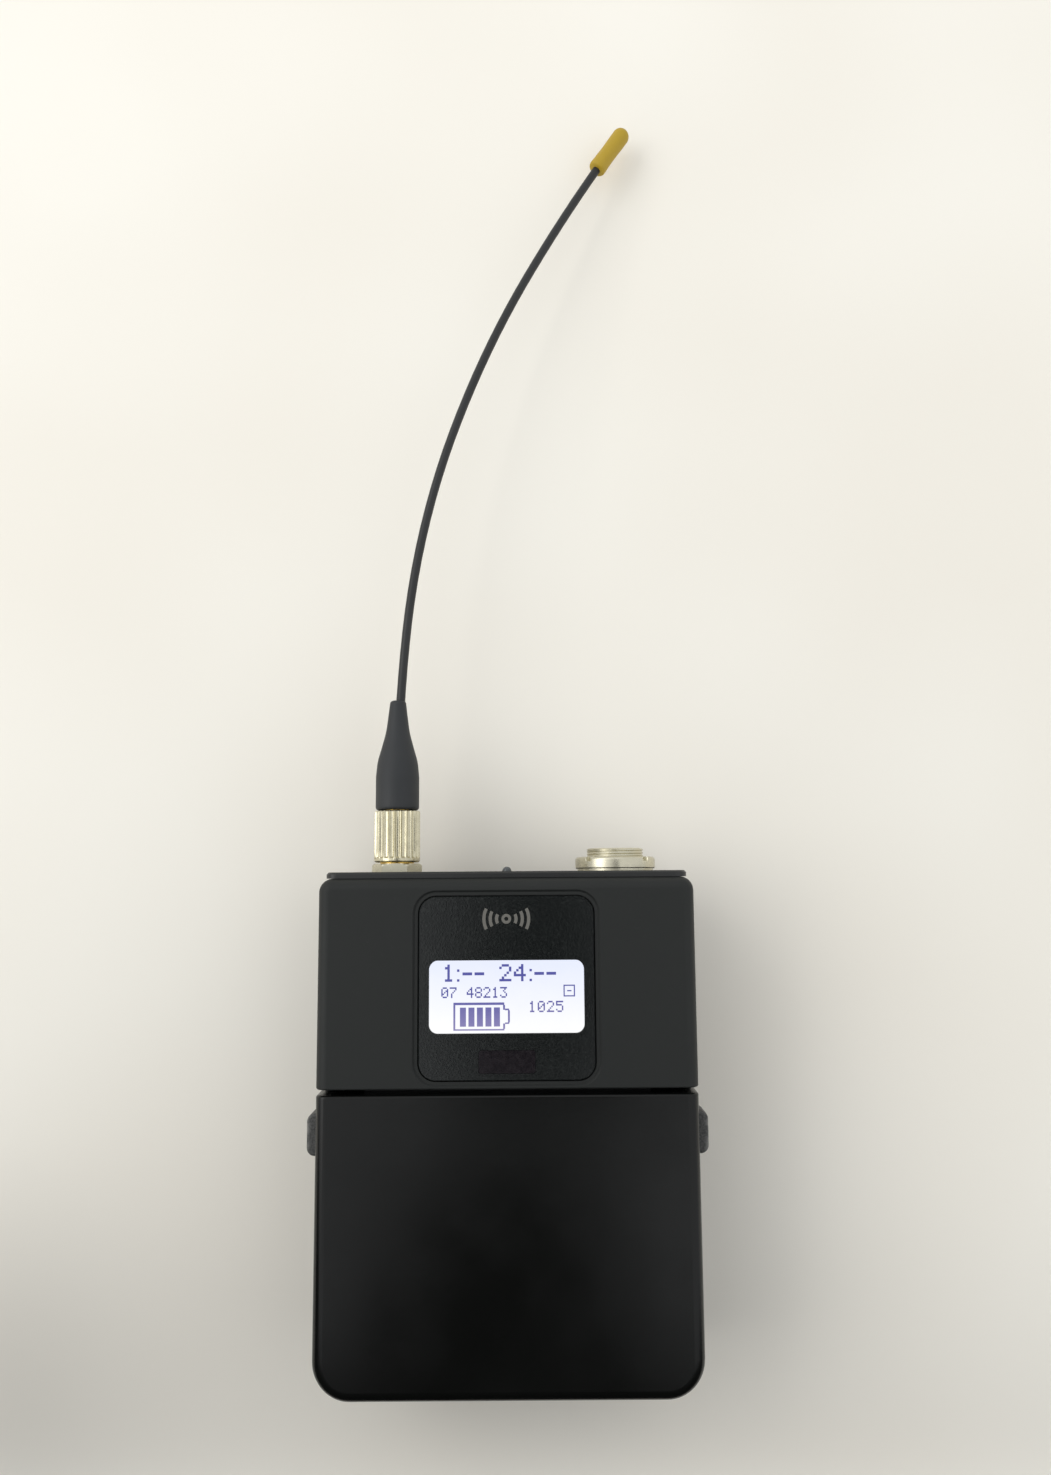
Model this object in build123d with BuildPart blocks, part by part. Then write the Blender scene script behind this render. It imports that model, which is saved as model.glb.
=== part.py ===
from build123d import *
from math import cos, radians, sin
import os

os.makedirs("parts", exist_ok=True)

# A body-worn wireless transmitter, lying on its belt clip with its display up.
# +X is right, +Y points along the antenna, +Z comes out of the display.
# Z = 0 is the outer face of the clip, X = 0 and Y = 0 are the middle of the case.

# ---- Driving dimensions, mm ----
case_width = 66.0
case_depth = 23.0
case_bottom_y = -43.0
case_top_y = 43.7
wall = 1.8
edge_round = 2.0
low_corner = 6.5
high_corner = 2.4
fold_y = 7.25
fold_gap = 0.95
fold_round = 0.5
cover_fold_round = 0.3
seam = 0.3
belt_gap = 4.8
clip_sheet = 1.2
half_depth = 11.5
running = 0.1
loose = 0.3
touch = 0.02
overlap = 0.2
beyond = 1.0

half_width = case_width / 2
inner_x = half_width - wall
back_z = clip_sheet + belt_gap
front_z = back_z + case_depth
split_z = back_z + half_depth
floor_z = back_z + wall
roof_z = front_z - wall
cover_low_y = fold_y + fold_gap / 2
door_top_y = fold_y - fold_gap / 2
bay_low_y = case_bottom_y + wall

# Battery bay
cell_radius = 7.1
cell_length = 49.3
nub_radius = 2.7
nub_length = 1.2
trough_gap = 0.3
cell_pitch = 14.7
low_cell_y = -26.3
cradle_floor = 0.8
coil_room = 2.7
contact_x = (cell_length + nub_length + coil_room) / 2
cradle_x = contact_x + 1.8
cradle_high_z = floor_z + 5.2
cradle_low_y = low_cell_y - cell_radius - 0.8
cradle_top_y = low_cell_y + cell_pitch + cell_radius + 1.0
cell_z = floor_z + overlap + cradle_floor + trough_gap + cell_radius
contact_sheet = 0.4

# Door hinge
hinge_round = 2.4
hinge_y = case_bottom_y + hinge_round
hinge_z = split_z + seam + hinge_round
knuckle_radius = 1.6
hinge_pin_radius = 0.7
lug_in_x = inner_x - 9.2
lug_out_x = inner_x - 5.7
pin_out_x = inner_x - 0.3

# Latch tabs on the door's sides
tab_mid_y = -0.4
tab_high = 7.2
tab_z = split_z + 4.75
tab_deep = 6.1
tab_proud = 1.9
tab_recess = 0.7
tab_recess_margin = 1.0
tab_flange = 0.9
tab_flange_margin = 1.0
tab_corner = 1.4
tab_edge_round = 0.5
tab_flange_x = inner_x - loose
hook_thick = 1.2
hook_nose = 1.1
hook_back = 0.3
hook_inset = 0.6
catch_x = inner_x - 0.7
catch_gap = 0.2

# Screen panel
panel_mid_y = 24.8
panel_width = 30.5
panel_high = 31.3
panel_corner = 3.0
panel_gap = 0.2
panel_thick = 1.0
panel_step = 0.1
pocket_deep = panel_thick + panel_step
dish_wide = 1.1
dish_deep = 0.35
screen_width = 26.8
screen_high = 12.3
screen_mid_y = 23.25
screen_corner = 1.5
eye_width = 9.8
eye_high = 3.84
eye_mid_y = 12.27

# Top end
rim_high = 1.1
rim_x = half_width - 1.0
rim_margin = 1.5
rim_corner = 2.0
rim_chamfer = 0.35
port_z = split_z
antenna_x = -(half_width - 12.6)
socket_x = half_width - 13.0
top_end_y = case_top_y + rim_high
lamp_radius = 0.85
lamp_z = port_z + 2.6
switch_z = port_z - 4.2
switch_travel = 3.0

# Boards
board_x = inner_x - 6.2
board_thick = 1.6
board_z = split_z - board_thick / 2
board_low_y = -1.2
board_high_y = 40.6
board_top_z = board_z + board_thick

# Antenna
jack_radius = 3.1
nut_across = 8.0
nut_high = 1.6
nut_chamfer = 0.25
collar_radius = 4.25
collar_low_y = top_end_y + 1.8
collar_high_y = collar_low_y + 9.55
whip_radius = 0.84
whip_roll = 16.0
whip_straight_y = 59.4
tip_radius = 1.8
tip_length = 12.0


def plan(z, x_half, low_y, high_y, low_r, high_r):
    """A case outline seen from the front, with its own low and high corner radii."""
    with BuildSketch(Plane.XY.offset(z)) as outline:
        with Locations((0, (low_y + high_y) / 2)):
            Rectangle(2 * x_half, high_y - low_y)
        corners = outline.vertices().group_by(Axis.Y)
        if low_r > 0:
            fillet(corners[0], low_r)
        corners = outline.vertices().group_by(Axis.Y)
        if high_r > 0:
            fillet(corners[-1], high_r)
    return outline.sketch


def block(x, y, z):
    """A box between pairs of coordinates, made outside any builder."""
    size = (x[1] - x[0], y[1] - y[0], z[1] - z[0])
    middle = ((x[0] + x[1]) / 2, (y[0] + y[1]) / 2, (z[0] + z[1]) / 2)
    return Pos(*middle) * Box(*size, mode=Mode.PRIVATE)


def mirrored(x, side):
    """The pair of X limits on the right (side 1) or the left (side -1)."""
    return tuple(sorted((side * x[0], side * x[1])))


def rod_x(radius, x, y, z):
    """A round bar along X between two X limits."""
    bar = Cylinder(radius, x[1] - x[0], rotation=(0, 90, 0), mode=Mode.PRIVATE)
    return Pos((x[0] + x[1]) / 2, y, z) * bar


def rod_y(radius, x, y, z):
    """A round bar along Y between two Y limits."""
    bar = Cylinder(radius, y[1] - y[0], rotation=(90, 0, 0), mode=Mode.PRIVATE)
    return Pos(x, (y[0] + y[1]) / 2, z) * bar


def rod_z(radius, x, y, z):
    """A round bar along Z between two Z limits."""
    bar = Cylinder(radius, z[1] - z[0], mode=Mode.PRIVATE)
    return Pos(x, y, (z[0] + z[1]) / 2) * bar


def save(part, name):
    """Labels a finished piece and writes it to its own STEP file."""
    part.label = name
    export_step(part, f"parts/{name}.step")


# ---- Rear shell: a tray with the clip bosses, hinge lugs, catches and half port holes ----
screw_x = inner_x - 3.2
screw_rows = (cover_low_y + 4.0, case_top_y - 12.0)
screw_boss_radius = 2.7
screw_head_radius = 1.9
screw_shank_radius = 0.95
screw_seat_z = floor_z + 1.2
inside_corner = 0.6
pivot_y = 25.0
pivot_z = back_z - 2.5
pivot_boss_x = (12.0, 15.6)
pivot_boss_radius = pivot_z - clip_sheet - loose
stud_radius = 1.2
socket_hole = 5.3
switch_slot = (4.5, 1.6)
catch_high = 1.6

with BuildPart() as rear_shell:
    add(plan(back_z, half_width, case_bottom_y, case_top_y, low_corner, high_corner))
    extrude(amount=split_z - back_z)
    fillet(rear_shell.faces().sort_by(Axis.Z)[0].edges(), edge_round)
    add(plan(floor_z, inner_x, bay_low_y, case_top_y - wall, low_corner - wall, inside_corner))
    extrude(amount=split_z - floor_z, mode=Mode.SUBTRACT)
    for side in (-1, 1):
        lug_x = mirrored((lug_in_x, lug_out_x), side)
        lug_y = (hinge_y - knuckle_radius, hinge_y + knuckle_radius)
        add(block(lug_x, lug_y, (floor_z - overlap, hinge_z)))
        add(rod_x(knuckle_radius, lug_x, hinge_y, hinge_z))
        bore_x = mirrored((lug_in_x - beyond, lug_out_x + beyond), side)
        add(rod_x(hinge_pin_radius + running, bore_x, hinge_y, hinge_z), mode=Mode.SUBTRACT)
        catch_y = (tab_mid_y - tab_high / 2, tab_mid_y + tab_high / 2)
        catch = mirrored((catch_x, inner_x + overlap), side)
        add(block(catch, catch_y, (split_z - catch_high, split_z)))
        boss = mirrored(pivot_boss_x, side)
        add(rod_x(pivot_boss_radius, boss, pivot_y, pivot_z))
        boss_y = (pivot_y - pivot_boss_radius, pivot_y + pivot_boss_radius)
        add(block(boss, boss_y, (pivot_z, back_z + overlap)))
        bore_x = mirrored((pivot_boss_x[0] - beyond, pivot_boss_x[1] + beyond), side)
        add(rod_x(stud_radius + running, bore_x, pivot_y, pivot_z), mode=Mode.SUBTRACT)
        for row in screw_rows:
            post_x = side * screw_x
            add(rod_z(screw_boss_radius, post_x, row, (floor_z - overlap, split_z)))
            shank = rod_z(screw_shank_radius + running, post_x, row, (back_z, split_z))
            head = rod_z(screw_head_radius + running, post_x, row, (back_z, screw_seat_z))
            add([shank, head], mode=Mode.SUBTRACT)
    wall_y = (case_top_y - wall - beyond, case_top_y + beyond)
    add(rod_y(jack_radius + running, antenna_x, wall_y, port_z), mode=Mode.SUBTRACT)
    add(rod_y(socket_hole, socket_x, wall_y, port_z), mode=Mode.SUBTRACT)
    slot_z = (switch_z - switch_slot[1], switch_z + switch_slot[1])
    add(block((-switch_slot[0], switch_slot[0]), wall_y, slot_z), mode=Mode.SUBTRACT)
save(rear_shell.part, "rear_shell")

# ---- Front cover: the upper front shell, with the screen pocket and screw posts ----
panel_low_y = panel_mid_y - panel_high / 2
panel_top_y = panel_mid_y + panel_high / 2
window_margin = 2.0
cover_lip = 3.4
post_reach = 0.8

with BuildPart() as front_cover:
    add(plan(split_z, half_width, cover_low_y, case_top_y, 0, high_corner))
    extrude(amount=front_z - split_z)
    face = front_cover.faces().sort_by(Axis.Z)[-1]
    low_edge = face.edges().sort_by(Axis.Y)[0]
    fillet(face.edges() - ShapeList([low_edge]), edge_round)
    fold_face = front_cover.faces().sort_by(Axis.Y)[0]
    seam_edge = fold_face.edges().sort_by(Axis.Z)[0]
    fillet(fold_face.edges() - ShapeList([seam_edge]), cover_fold_round)
    add(plan(split_z, inner_x, cover_low_y + wall, case_top_y - wall, 0, inside_corner))
    extrude(amount=roof_z - split_z, mode=Mode.SUBTRACT)
    # The lower end is open below its lip, where the control deck slides in.
    deck_mouth = (cover_low_y - beyond, cover_low_y + wall + beyond)
    mouth = block((-inner_x, inner_x), deck_mouth, (split_z - beyond, roof_z - cover_lip))
    add(mouth, mode=Mode.SUBTRACT)
    # The screen panel sits in a pocket inside a shallow dished frame with a sloped edge.
    dish = dish_wide - dish_deep
    dish_corner = panel_corner + dish
    low, top = panel_low_y - dish, panel_top_y + dish
    add(plan(front_z - dish_deep, panel_width / 2 + dish, low, top, dish_corner, dish_corner))
    extrude(amount=dish_deep + beyond, mode=Mode.SUBTRACT)
    face = front_cover.faces().filter_by(Plane.XY).sort_by(Axis.Z)[-1]
    chamfer(face.inner_wires()[0].edges(), dish_deep - touch)
    corner = panel_corner + panel_gap
    low, top = panel_low_y - panel_gap, panel_top_y + panel_gap
    add(plan(front_z - pocket_deep, panel_width / 2 + panel_gap, low, top, corner, corner))
    extrude(amount=pocket_deep + beyond, mode=Mode.SUBTRACT)
    low, top = cover_low_y + wall, panel_top_y - window_margin
    add(plan(roof_z - beyond, panel_width / 2 - window_margin, low, top, 1.0, 1.0))
    extrude(amount=wall + 2 * beyond, mode=Mode.SUBTRACT)
    for side in (-1, 1):
        for row in screw_rows:
            post_x = side * screw_x
            add(rod_z(screw_boss_radius, post_x, row, (split_z, roof_z + overlap)))
            tapped = rod_z(screw_shank_radius, post_x, row, (split_z, roof_z - post_reach))
            add(tapped, mode=Mode.SUBTRACT)
    add(rod_y(jack_radius + running, antenna_x, wall_y, port_z), mode=Mode.SUBTRACT)
    add(rod_y(socket_hole, socket_x, wall_y, port_z), mode=Mode.SUBTRACT)
    add(rod_y(lamp_radius + running, 0, wall_y, lamp_z), mode=Mode.SUBTRACT)
save(front_cover.part, "front_cover")

# ---- Battery door: the lower front shell, swinging on pins near its bottom edge ----
door_low_z = split_z + seam
notch_x = (lug_in_x - loose, lug_out_x + loose)
door_lip_z = front_z - wall - 2.3
tab_hole_y = (tab_mid_y - tab_high / 2 - loose, tab_mid_y + tab_high / 2 + loose)
tab_hole_z = (tab_z - tab_deep / 2 - loose, tab_z + tab_deep / 2 + loose)
spring_post_x = (inner_x - 5.2, inner_x - 4.2)
spring_post_half = 2.2
knuckle_web = 1.6

with BuildPart() as battery_door:
    add(plan(door_low_z, half_width, case_bottom_y, door_top_y, low_corner, 0))
    extrude(amount=front_z - door_low_z)
    face = battery_door.faces().sort_by(Axis.Z)[-1]
    top_edge = face.edges().sort_by(Axis.Y)[-1]
    fillet(face.edges() - ShapeList([top_edge]), edge_round)
    fold_face = battery_door.faces().sort_by(Axis.Y)[-1]
    seam_edge = fold_face.edges().sort_by(Axis.Z)[0]
    fillet(fold_face.edges() - ShapeList([seam_edge]), fold_round)
    add(plan(door_low_z, inner_x, bay_low_y, door_top_y - wall, low_corner - wall, 0))
    extrude(amount=roof_z - door_low_z, mode=Mode.SUBTRACT)
    lip_y = (door_top_y - wall - beyond, door_top_y + beyond)
    add(block((-inner_x, inner_x), lip_y, (door_low_z - beyond, door_lip_z)), mode=Mode.SUBTRACT)
    # The hinge edge is round about the pin, so that it clears the rear shell as it turns.
    with BuildSketch(Plane.YZ.offset(-case_width)) as hinge_edge:
        with Locations((hinge_y - hinge_round, hinge_z - hinge_round)):
            Rectangle(hinge_round, hinge_round, align=(Align.MIN, Align.MIN))
        with Locations((hinge_y, hinge_z)):
            Circle(hinge_round, mode=Mode.SUBTRACT)
    extrude(amount=2 * case_width, mode=Mode.SUBTRACT)
    for side in (-1, 1):
        notch = mirrored(notch_x, side)
        notch_y = (case_bottom_y - beyond, bay_low_y + overlap)
        notch_z = (door_low_z - beyond, hinge_z + knuckle_radius + loose)
        add(block(notch, notch_y, notch_z), mode=Mode.SUBTRACT)
        knuckle = mirrored((lug_out_x + loose, inner_x + overlap), side)
        add(rod_x(knuckle_radius, knuckle, hinge_y, hinge_z))
        web_y = (bay_low_y - overlap, hinge_y + knuckle_radius)
        web_x = mirrored((lug_out_x + loose, inner_x - knuckle_web), side)
        add(block(web_x, web_y, (hinge_z, roof_z + overlap)))
        bore_x = mirrored((lug_out_x, pin_out_x), side)
        add(rod_x(hinge_pin_radius, bore_x, hinge_y, hinge_z), mode=Mode.SUBTRACT)
        tab_hole_x = mirrored((inner_x - beyond, half_width + beyond), side)
        add(block(tab_hole_x, tab_hole_y, tab_hole_z), mode=Mode.SUBTRACT)
        recess_x = mirrored((half_width - tab_recess, half_width + beyond), side)
        recess_y = (tab_hole_y[0] - tab_recess_margin, tab_hole_y[1] + tab_recess_margin)
        recess_z = (tab_hole_z[0] - tab_recess_margin / 2, tab_hole_z[1] + tab_recess_margin / 2)
        add(block(recess_x, recess_y, recess_z), mode=Mode.SUBTRACT)
        post_y = (tab_mid_y - spring_post_half, tab_mid_y + spring_post_half)
        post_z = (tab_z - spring_post_half, roof_z + overlap)
        add(block(mirrored(spring_post_x, side), post_y, post_z))
save(battery_door.part, "battery_door")

wire = 0.3
turns = 4
spring_radius = 1.6

for side, word in ((-1, "left"), (1, "right")):
    with BuildPart() as hinge_pin:
        pin_x = mirrored((lug_in_x + overlap, pin_out_x), side)
        add(rod_x(hinge_pin_radius, pin_x, hinge_y, hinge_z))
        chamfer(hinge_pin.edges().filter_by(GeomType.CIRCLE), 0.15)
    save(hinge_pin.part, f"hinge_pin_{word}")

    # A latch tab: the button outside, a flange behind the wall, and a hook down into the shell.
    with BuildPart() as latch_tab:
        tab_y = (tab_mid_y - tab_high / 2, tab_mid_y + tab_high / 2)
        tab_faces_z = (tab_z - tab_deep / 2, tab_z + tab_deep / 2)
        tab_x = mirrored((tab_flange_x - tab_flange, half_width + tab_proud), side)
        add(block(tab_x, tab_y, tab_faces_z))
        ends = latch_tab.edges().filter_by(Axis.Z).sort_by(Axis.X)
        fillet(ends[:2] if side < 0 else ends[-2:], tab_corner)
        outside = latch_tab.faces().sort_by(Axis.X)[0 if side < 0 else -1]
        fillet(outside.edges().filter_by(Axis.Y), tab_edge_round)
        flange_x = mirrored((tab_flange_x - tab_flange, tab_flange_x), side)
        flange_y = (tab_y[0] - tab_flange_margin, tab_y[1] + tab_flange_margin)
        flange_z = (tab_faces_z[0] - tab_flange_margin, tab_faces_z[1] + tab_flange_margin)
        add(block(flange_x, flange_y, flange_z))
        hook_x = catch_x - catch_gap
        arm_x = mirrored((hook_x - hook_thick, hook_x - hook_back), side)
        arm_y = (tab_y[0] + hook_inset, tab_y[1] - hook_inset)
        arm_low_z = split_z - catch_high - hook_nose - loose
        add(block(arm_x, arm_y, (arm_low_z, flange_z[0] + tab_flange)))
        nose_x = mirrored((hook_x - hook_thick, hook_x), side)
        add(block(nose_x, arm_y, (arm_low_z, arm_low_z + hook_nose)))
    save(latch_tab.part, f"latch_tab_{word}")

    # The tab's return spring, three flat rings of wire between the post and the flange.
    with BuildPart() as latch_spring:
        spring_x = (spring_post_x[1], tab_flange_x - tab_flange)
        step = (spring_x[1] - spring_x[0] - 2 * wire) / (turns - 1)
        for turn in range(turns):
            ring_x = side * (spring_x[0] + wire + turn * step)
            ring = Torus(spring_radius, wire, rotation=(0, 90, 0), mode=Mode.PRIVATE)
            add(Pos(ring_x, tab_mid_y, tab_z) * ring)
        for turn in range(turns - 1):
            link_low = spring_x[0] + wire + turn * step
            link_x = mirrored((link_low, link_low + step), side)
            link_z = tab_z + (spring_radius if turn % 2 else -spring_radius)
            add(rod_x(wire * 0.9, link_x, tab_mid_y, link_z))
    save(latch_spring.part, f"latch_spring_{word}")

pad_half = 18.0
pad_reach = 3.0
pad_corner = 2.0

with BuildPart() as door_pad:
    pad_y = (low_cell_y - pad_reach, low_cell_y + cell_pitch + pad_reach)
    add(block((-pad_half, pad_half), pad_y, (cell_z + cell_radius + loose, roof_z)))
    fillet(door_pad.edges().filter_by(Axis.Z), pad_corner)
save(door_pad.part, "door_pad")

# ---- Battery bay: cradle, two cells, contact plates and coil contacts ----
trough_radius = cell_radius + trough_gap
end_wall = 1.4
end_wall_y = (cradle_low_y + 1.0, low_cell_y + cell_pitch + 4.6)
end_wall_z = cell_z + 4.4
contact_half = 4.4
cradle_low_z = floor_z + overlap
can_round = 0.5
coil_low_radius = 3.6
coil_taper = 0.6
rings = 3

with BuildPart() as battery_cradle:
    add(block((-cradle_x, cradle_x), (cradle_low_y, cradle_top_y), (cradle_low_z, cradle_high_z)))
    for row in range(2):
        cell_y = low_cell_y + row * cell_pitch
        trough = rod_x(trough_radius, (-contact_x, contact_x), cell_y, cell_z)
        add(trough, mode=Mode.SUBTRACT)
    for side in (-1, 1):
        wall_x = mirrored((cradle_x - end_wall, cradle_x), side)
        add(block(wall_x, end_wall_y, (cradle_low_z, end_wall_z)))
save(battery_cradle.part, "battery_cradle")

for row, word in ((0, "lower"), (1, "upper")):
    cell_y = low_cell_y + row * cell_pitch
    toward = 1 if row == 0 else -1
    with BuildPart() as cell:
        nub_end = contact_x - touch
        can_x = (nub_end - nub_length - cell_length, nub_end - nub_length)
        add(rod_x(cell_radius, mirrored(can_x, toward), cell_y, cell_z))
        fillet(cell.edges().filter_by(GeomType.CIRCLE), can_round)
        nub_x = mirrored((can_x[1] - 0.1, nub_end), toward)
        add(rod_x(nub_radius, nub_x, cell_y, cell_z))
    save(cell.part, f"aa_cell_{word}")
    with BuildPart() as coil_contact:
        coil_x = (-contact_x, can_x[0])
        step = (coil_x[1] - coil_x[0] - 2 * wire) / (rings - 1)
        for ring in range(rings):
            loop_radius = coil_low_radius - coil_taper * ring
            ring_x = toward * (coil_x[0] + wire + ring * step)
            loop = Torus(loop_radius, wire, rotation=(0, 90, 0), mode=Mode.PRIVATE)
            add(Pos(ring_x, cell_y, cell_z) * loop)
        for ring in range(rings - 1):
            link_low = coil_x[0] + wire + ring * step
            link_x = mirrored((link_low, link_low + step), toward)
            link_radius = coil_low_radius - coil_taper * (ring + 0.5)
            link_y = cell_y + link_radius * (1 if ring % 2 else -1)
            add(rod_x(wire, link_x, link_y, cell_z))
    save(coil_contact.part, f"coil_contact_{word}")

high_cell_y = low_cell_y + cell_pitch
low_span = (low_cell_y - contact_half, low_cell_y + contact_half)
high_span = (high_cell_y - contact_half, high_cell_y + contact_half)
plate_spans = {"left": (low_span, high_span), "right": ((low_span[0], high_span[1]),)}
for side, word in ((-1, "left"), (1, "right")):
    with BuildPart() as contact_plate:
        for span in plate_spans[word]:
            plate_x = mirrored((contact_x, contact_x + contact_sheet), side)
            add(block(plate_x, span, (cradle_high_z, end_wall_z - overlap)))
    save(contact_plate.part, f"contact_plate_{word}")

# ---- Control deck over the board, with four buttons and their switches ----
deck_x = inner_x - 6.0
deck_top_z = roof_z - 3.8
deck_thick = 1.4
deck_y = (cradle_top_y + loose, cover_low_y + wall)
button_y = 2.2
button_xs = (-13.5, -4.5, 4.5, 13.5)
button_size = (5.6, 3.6)
button_proud = 0.9
button_travel = 0.4
press_margin = 0.05
tact_high = 1.8
tact_half = 2.25
stem_high = 0.35
stem_radius = 1.0
flange_reach = (0.8, 0.6)
deck_wall = 1.2

with BuildPart() as control_deck:
    add(block((-deck_x, deck_x), deck_y, (deck_top_z - deck_thick, deck_top_z)))
    add(block((-deck_x, deck_x), (deck_y[0], deck_y[0] + deck_wall), (floor_z + running, deck_top_z)))
    for x in button_xs:
        hole_x = (x - button_size[0] / 2 - running, x + button_size[0] / 2 + running)
        hole_y = (button_y - button_size[1] / 2 - running, button_y + button_size[1] / 2 + running)
        hole_z = (deck_top_z - 2 * deck_thick, deck_top_z + beyond)
        add(block(hole_x, hole_y, hole_z), mode=Mode.SUBTRACT)
save(control_deck.part, "control_deck")

with BuildPart() as tact_switches:
    for x in button_xs:
        body_x = (x - tact_half, x + tact_half)
        body_y = (button_y - tact_half, button_y + tact_half)
        add(block(body_x, body_y, (board_top_z, board_top_z + tact_high)))
        add(rod_z(stem_radius, x, button_y, (board_top_z, board_top_z + tact_high + stem_high)))
save(tact_switches.part, "tact_switches")

for number, x in enumerate(button_xs, start=1):
    with BuildPart() as menu_button:
        cap_x = (x - button_size[0] / 2, x + button_size[0] / 2)
        cap_y = (button_y - button_size[1] / 2, button_y + button_size[1] / 2)
        flange_top = deck_top_z - deck_thick - loose
        button_foot = board_top_z + tact_high + stem_high + button_travel + press_margin
        add(block(cap_x, cap_y, (button_foot, deck_top_z + button_proud)))
        fillet(menu_button.edges().filter_by(Axis.Z), 0.5)
        fillet(menu_button.faces().sort_by(Axis.Z)[-1].edges(), 0.4)
        flange_x = (cap_x[0] - flange_reach[0], cap_x[1] + flange_reach[0])
        flange_y = (cap_y[0] - flange_reach[1], cap_y[1] + flange_reach[1])
        add(block(flange_x, flange_y, (button_foot, flange_top)))
    save(menu_button.part, f"menu_button_{number}")

# ---- Main board with the parts it carries ----
jack_block = 4.0
jack_low_y = board_high_y - jack_block
socket_body_radius = 6.4
socket_low_y = case_top_y - wall - 4.5

with BuildPart() as main_board:
    add(block((-board_x, board_x), (board_low_y, board_high_y), (board_z, board_top_z)))
    through_z = (board_z - beyond, board_top_z + beyond)
    jack_x = (antenna_x - jack_block - running, antenna_x + jack_block + running)
    add(block(jack_x, (jack_low_y - running, board_high_y + beyond), through_z), mode=Mode.SUBTRACT)
    socket_hollow_x = (socket_x - socket_body_radius - overlap, board_x + beyond)
    socket_hollow_y = (socket_low_y - beyond, board_high_y + beyond)
    add(block(socket_hollow_x, socket_hollow_y, through_z), mode=Mode.SUBTRACT)
save(main_board.part, "main_board")

shield_x = (-board_x + 0.6, -board_x + 9.6)
shield_y = (17.0, 33.0)
shield_high = 2.6
shield_corner = 0.6

with BuildPart() as rf_shield:
    add(block(shield_x, shield_y, (board_top_z, board_top_z + shield_high)))
    fillet(rf_shield.edges().filter_by(Axis.Z), shield_corner)
save(rf_shield.part, "rf_shield")

frame_x = 14.4
frame_wall = 1.2
module_edge = 0.3
frame_y = (screen_mid_y - 7.6, screen_mid_y + 8.6)
module_z = (roof_z - 3.2, roof_z - 0.1)
with BuildPart() as screen_frame:
    add(block((-frame_x, frame_x), frame_y, (board_top_z, module_z[0])))
    inside_x = (-frame_x + frame_wall, frame_x - frame_wall)
    inside_y = (frame_y[0] + frame_wall, frame_y[1] - frame_wall)
    inside_z = (board_top_z - beyond, module_z[0] + beyond)
    add(block(inside_x, inside_y, inside_z), mode=Mode.SUBTRACT)
save(screen_frame.part, "screen_frame")

with BuildPart() as screen_module:
    module_x = (-frame_x - 2 * module_edge, frame_x + 2 * module_edge)
    module_y = (frame_y[0] - module_edge, frame_y[1] + module_edge)
    add(block(module_x, module_y, module_z))
    glass_x = panel_width / 2 - window_margin - loose
    glass_y = (screen_mid_y - screen_high / 2 - loose, screen_mid_y + screen_high / 2 + loose)
    add(block((-glass_x, glass_x), glass_y, (module_z[1], front_z - pocket_deep - touch)))
save(screen_module.part, "screen_module")

ribbon_half = 7.0
ribbon_thick = 0.3
ribbon_y = (module_y[1], module_y[1] + 1.9)
ribbon_z = module_z[0] + 1.0

with BuildPart() as screen_ribbon:
    with BuildSketch(Plane.YZ.offset(-ribbon_half)) as ribbon:
        with BuildLine():
            Polyline(
                (ribbon_y[0], ribbon_z),
                (ribbon_y[1] - ribbon_thick, ribbon_z),
                (ribbon_y[1] - ribbon_thick, board_top_z),
                (ribbon_y[1], board_top_z),
                (ribbon_y[1], ribbon_z + ribbon_thick),
                (ribbon_y[0], ribbon_z + ribbon_thick),
                close=True,
            )
        make_face()
    extrude(amount=2 * ribbon_half)
save(screen_ribbon.part, "screen_ribbon")

# ---- Screen panel in its pocket, with the display window and the infrared window ----
panel_low_z = front_z - panel_step - panel_thick
panel_top_z = front_z - panel_step
insert_gap = 0.04
sunk = 0.05
panel_edge = 0.12
eye_corner = 0.5

with BuildPart() as screen_panel:
    add(plan(panel_low_z, panel_width / 2, panel_low_y, panel_top_y, panel_corner, panel_corner))
    extrude(amount=panel_thick)
    chamfer(screen_panel.faces().sort_by(Axis.Z)[-1].edges(), panel_edge)
    for width, high, mid, corner in (
        (screen_width, screen_high, screen_mid_y, screen_corner),
        (eye_width, eye_high, eye_mid_y, eye_corner),
    ):
        low, top = mid - high / 2 - insert_gap, mid + high / 2 + insert_gap
        add(plan(panel_low_z - beyond, width / 2 + insert_gap, low, top, corner, corner))
        extrude(amount=panel_thick + 2 * beyond, mode=Mode.SUBTRACT)
save(screen_panel.part, "screen_panel")

with BuildPart() as display_window:
    low, top = screen_mid_y - screen_high / 2, screen_mid_y + screen_high / 2
    add(plan(panel_low_z, screen_width / 2, low, top, screen_corner, screen_corner))
    extrude(amount=panel_thick - sunk)
save(display_window.part, "display_window")

eye_foot_z = board_top_z + 3.4
guide_half = (3.4, 1.3)
eye_half = (4.2, 1.7)
with BuildPart() as infrared_window:
    low, top = eye_mid_y - eye_high / 2, eye_mid_y + eye_high / 2
    add(plan(panel_low_z, eye_width / 2, low, top, eye_corner, eye_corner))
    extrude(amount=panel_thick - sunk)
    guide_y = (eye_mid_y - guide_half[1], eye_mid_y + guide_half[1])
    add(block((-guide_half[0], guide_half[0]), guide_y, (eye_foot_z, panel_low_z)))
save(infrared_window.part, "infrared_window")

with BuildPart() as infrared_transceiver:
    eye_y = (eye_mid_y - eye_half[1], eye_mid_y + eye_half[1])
    add(block((-eye_half[0], eye_half[0]), eye_y, (board_top_z, eye_foot_z - overlap)))
    chamfer(infrared_transceiver.faces().sort_by(Axis.Z)[-1].edges(), 0.4)
save(infrared_transceiver.part, "infrared_transceiver")

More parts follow.
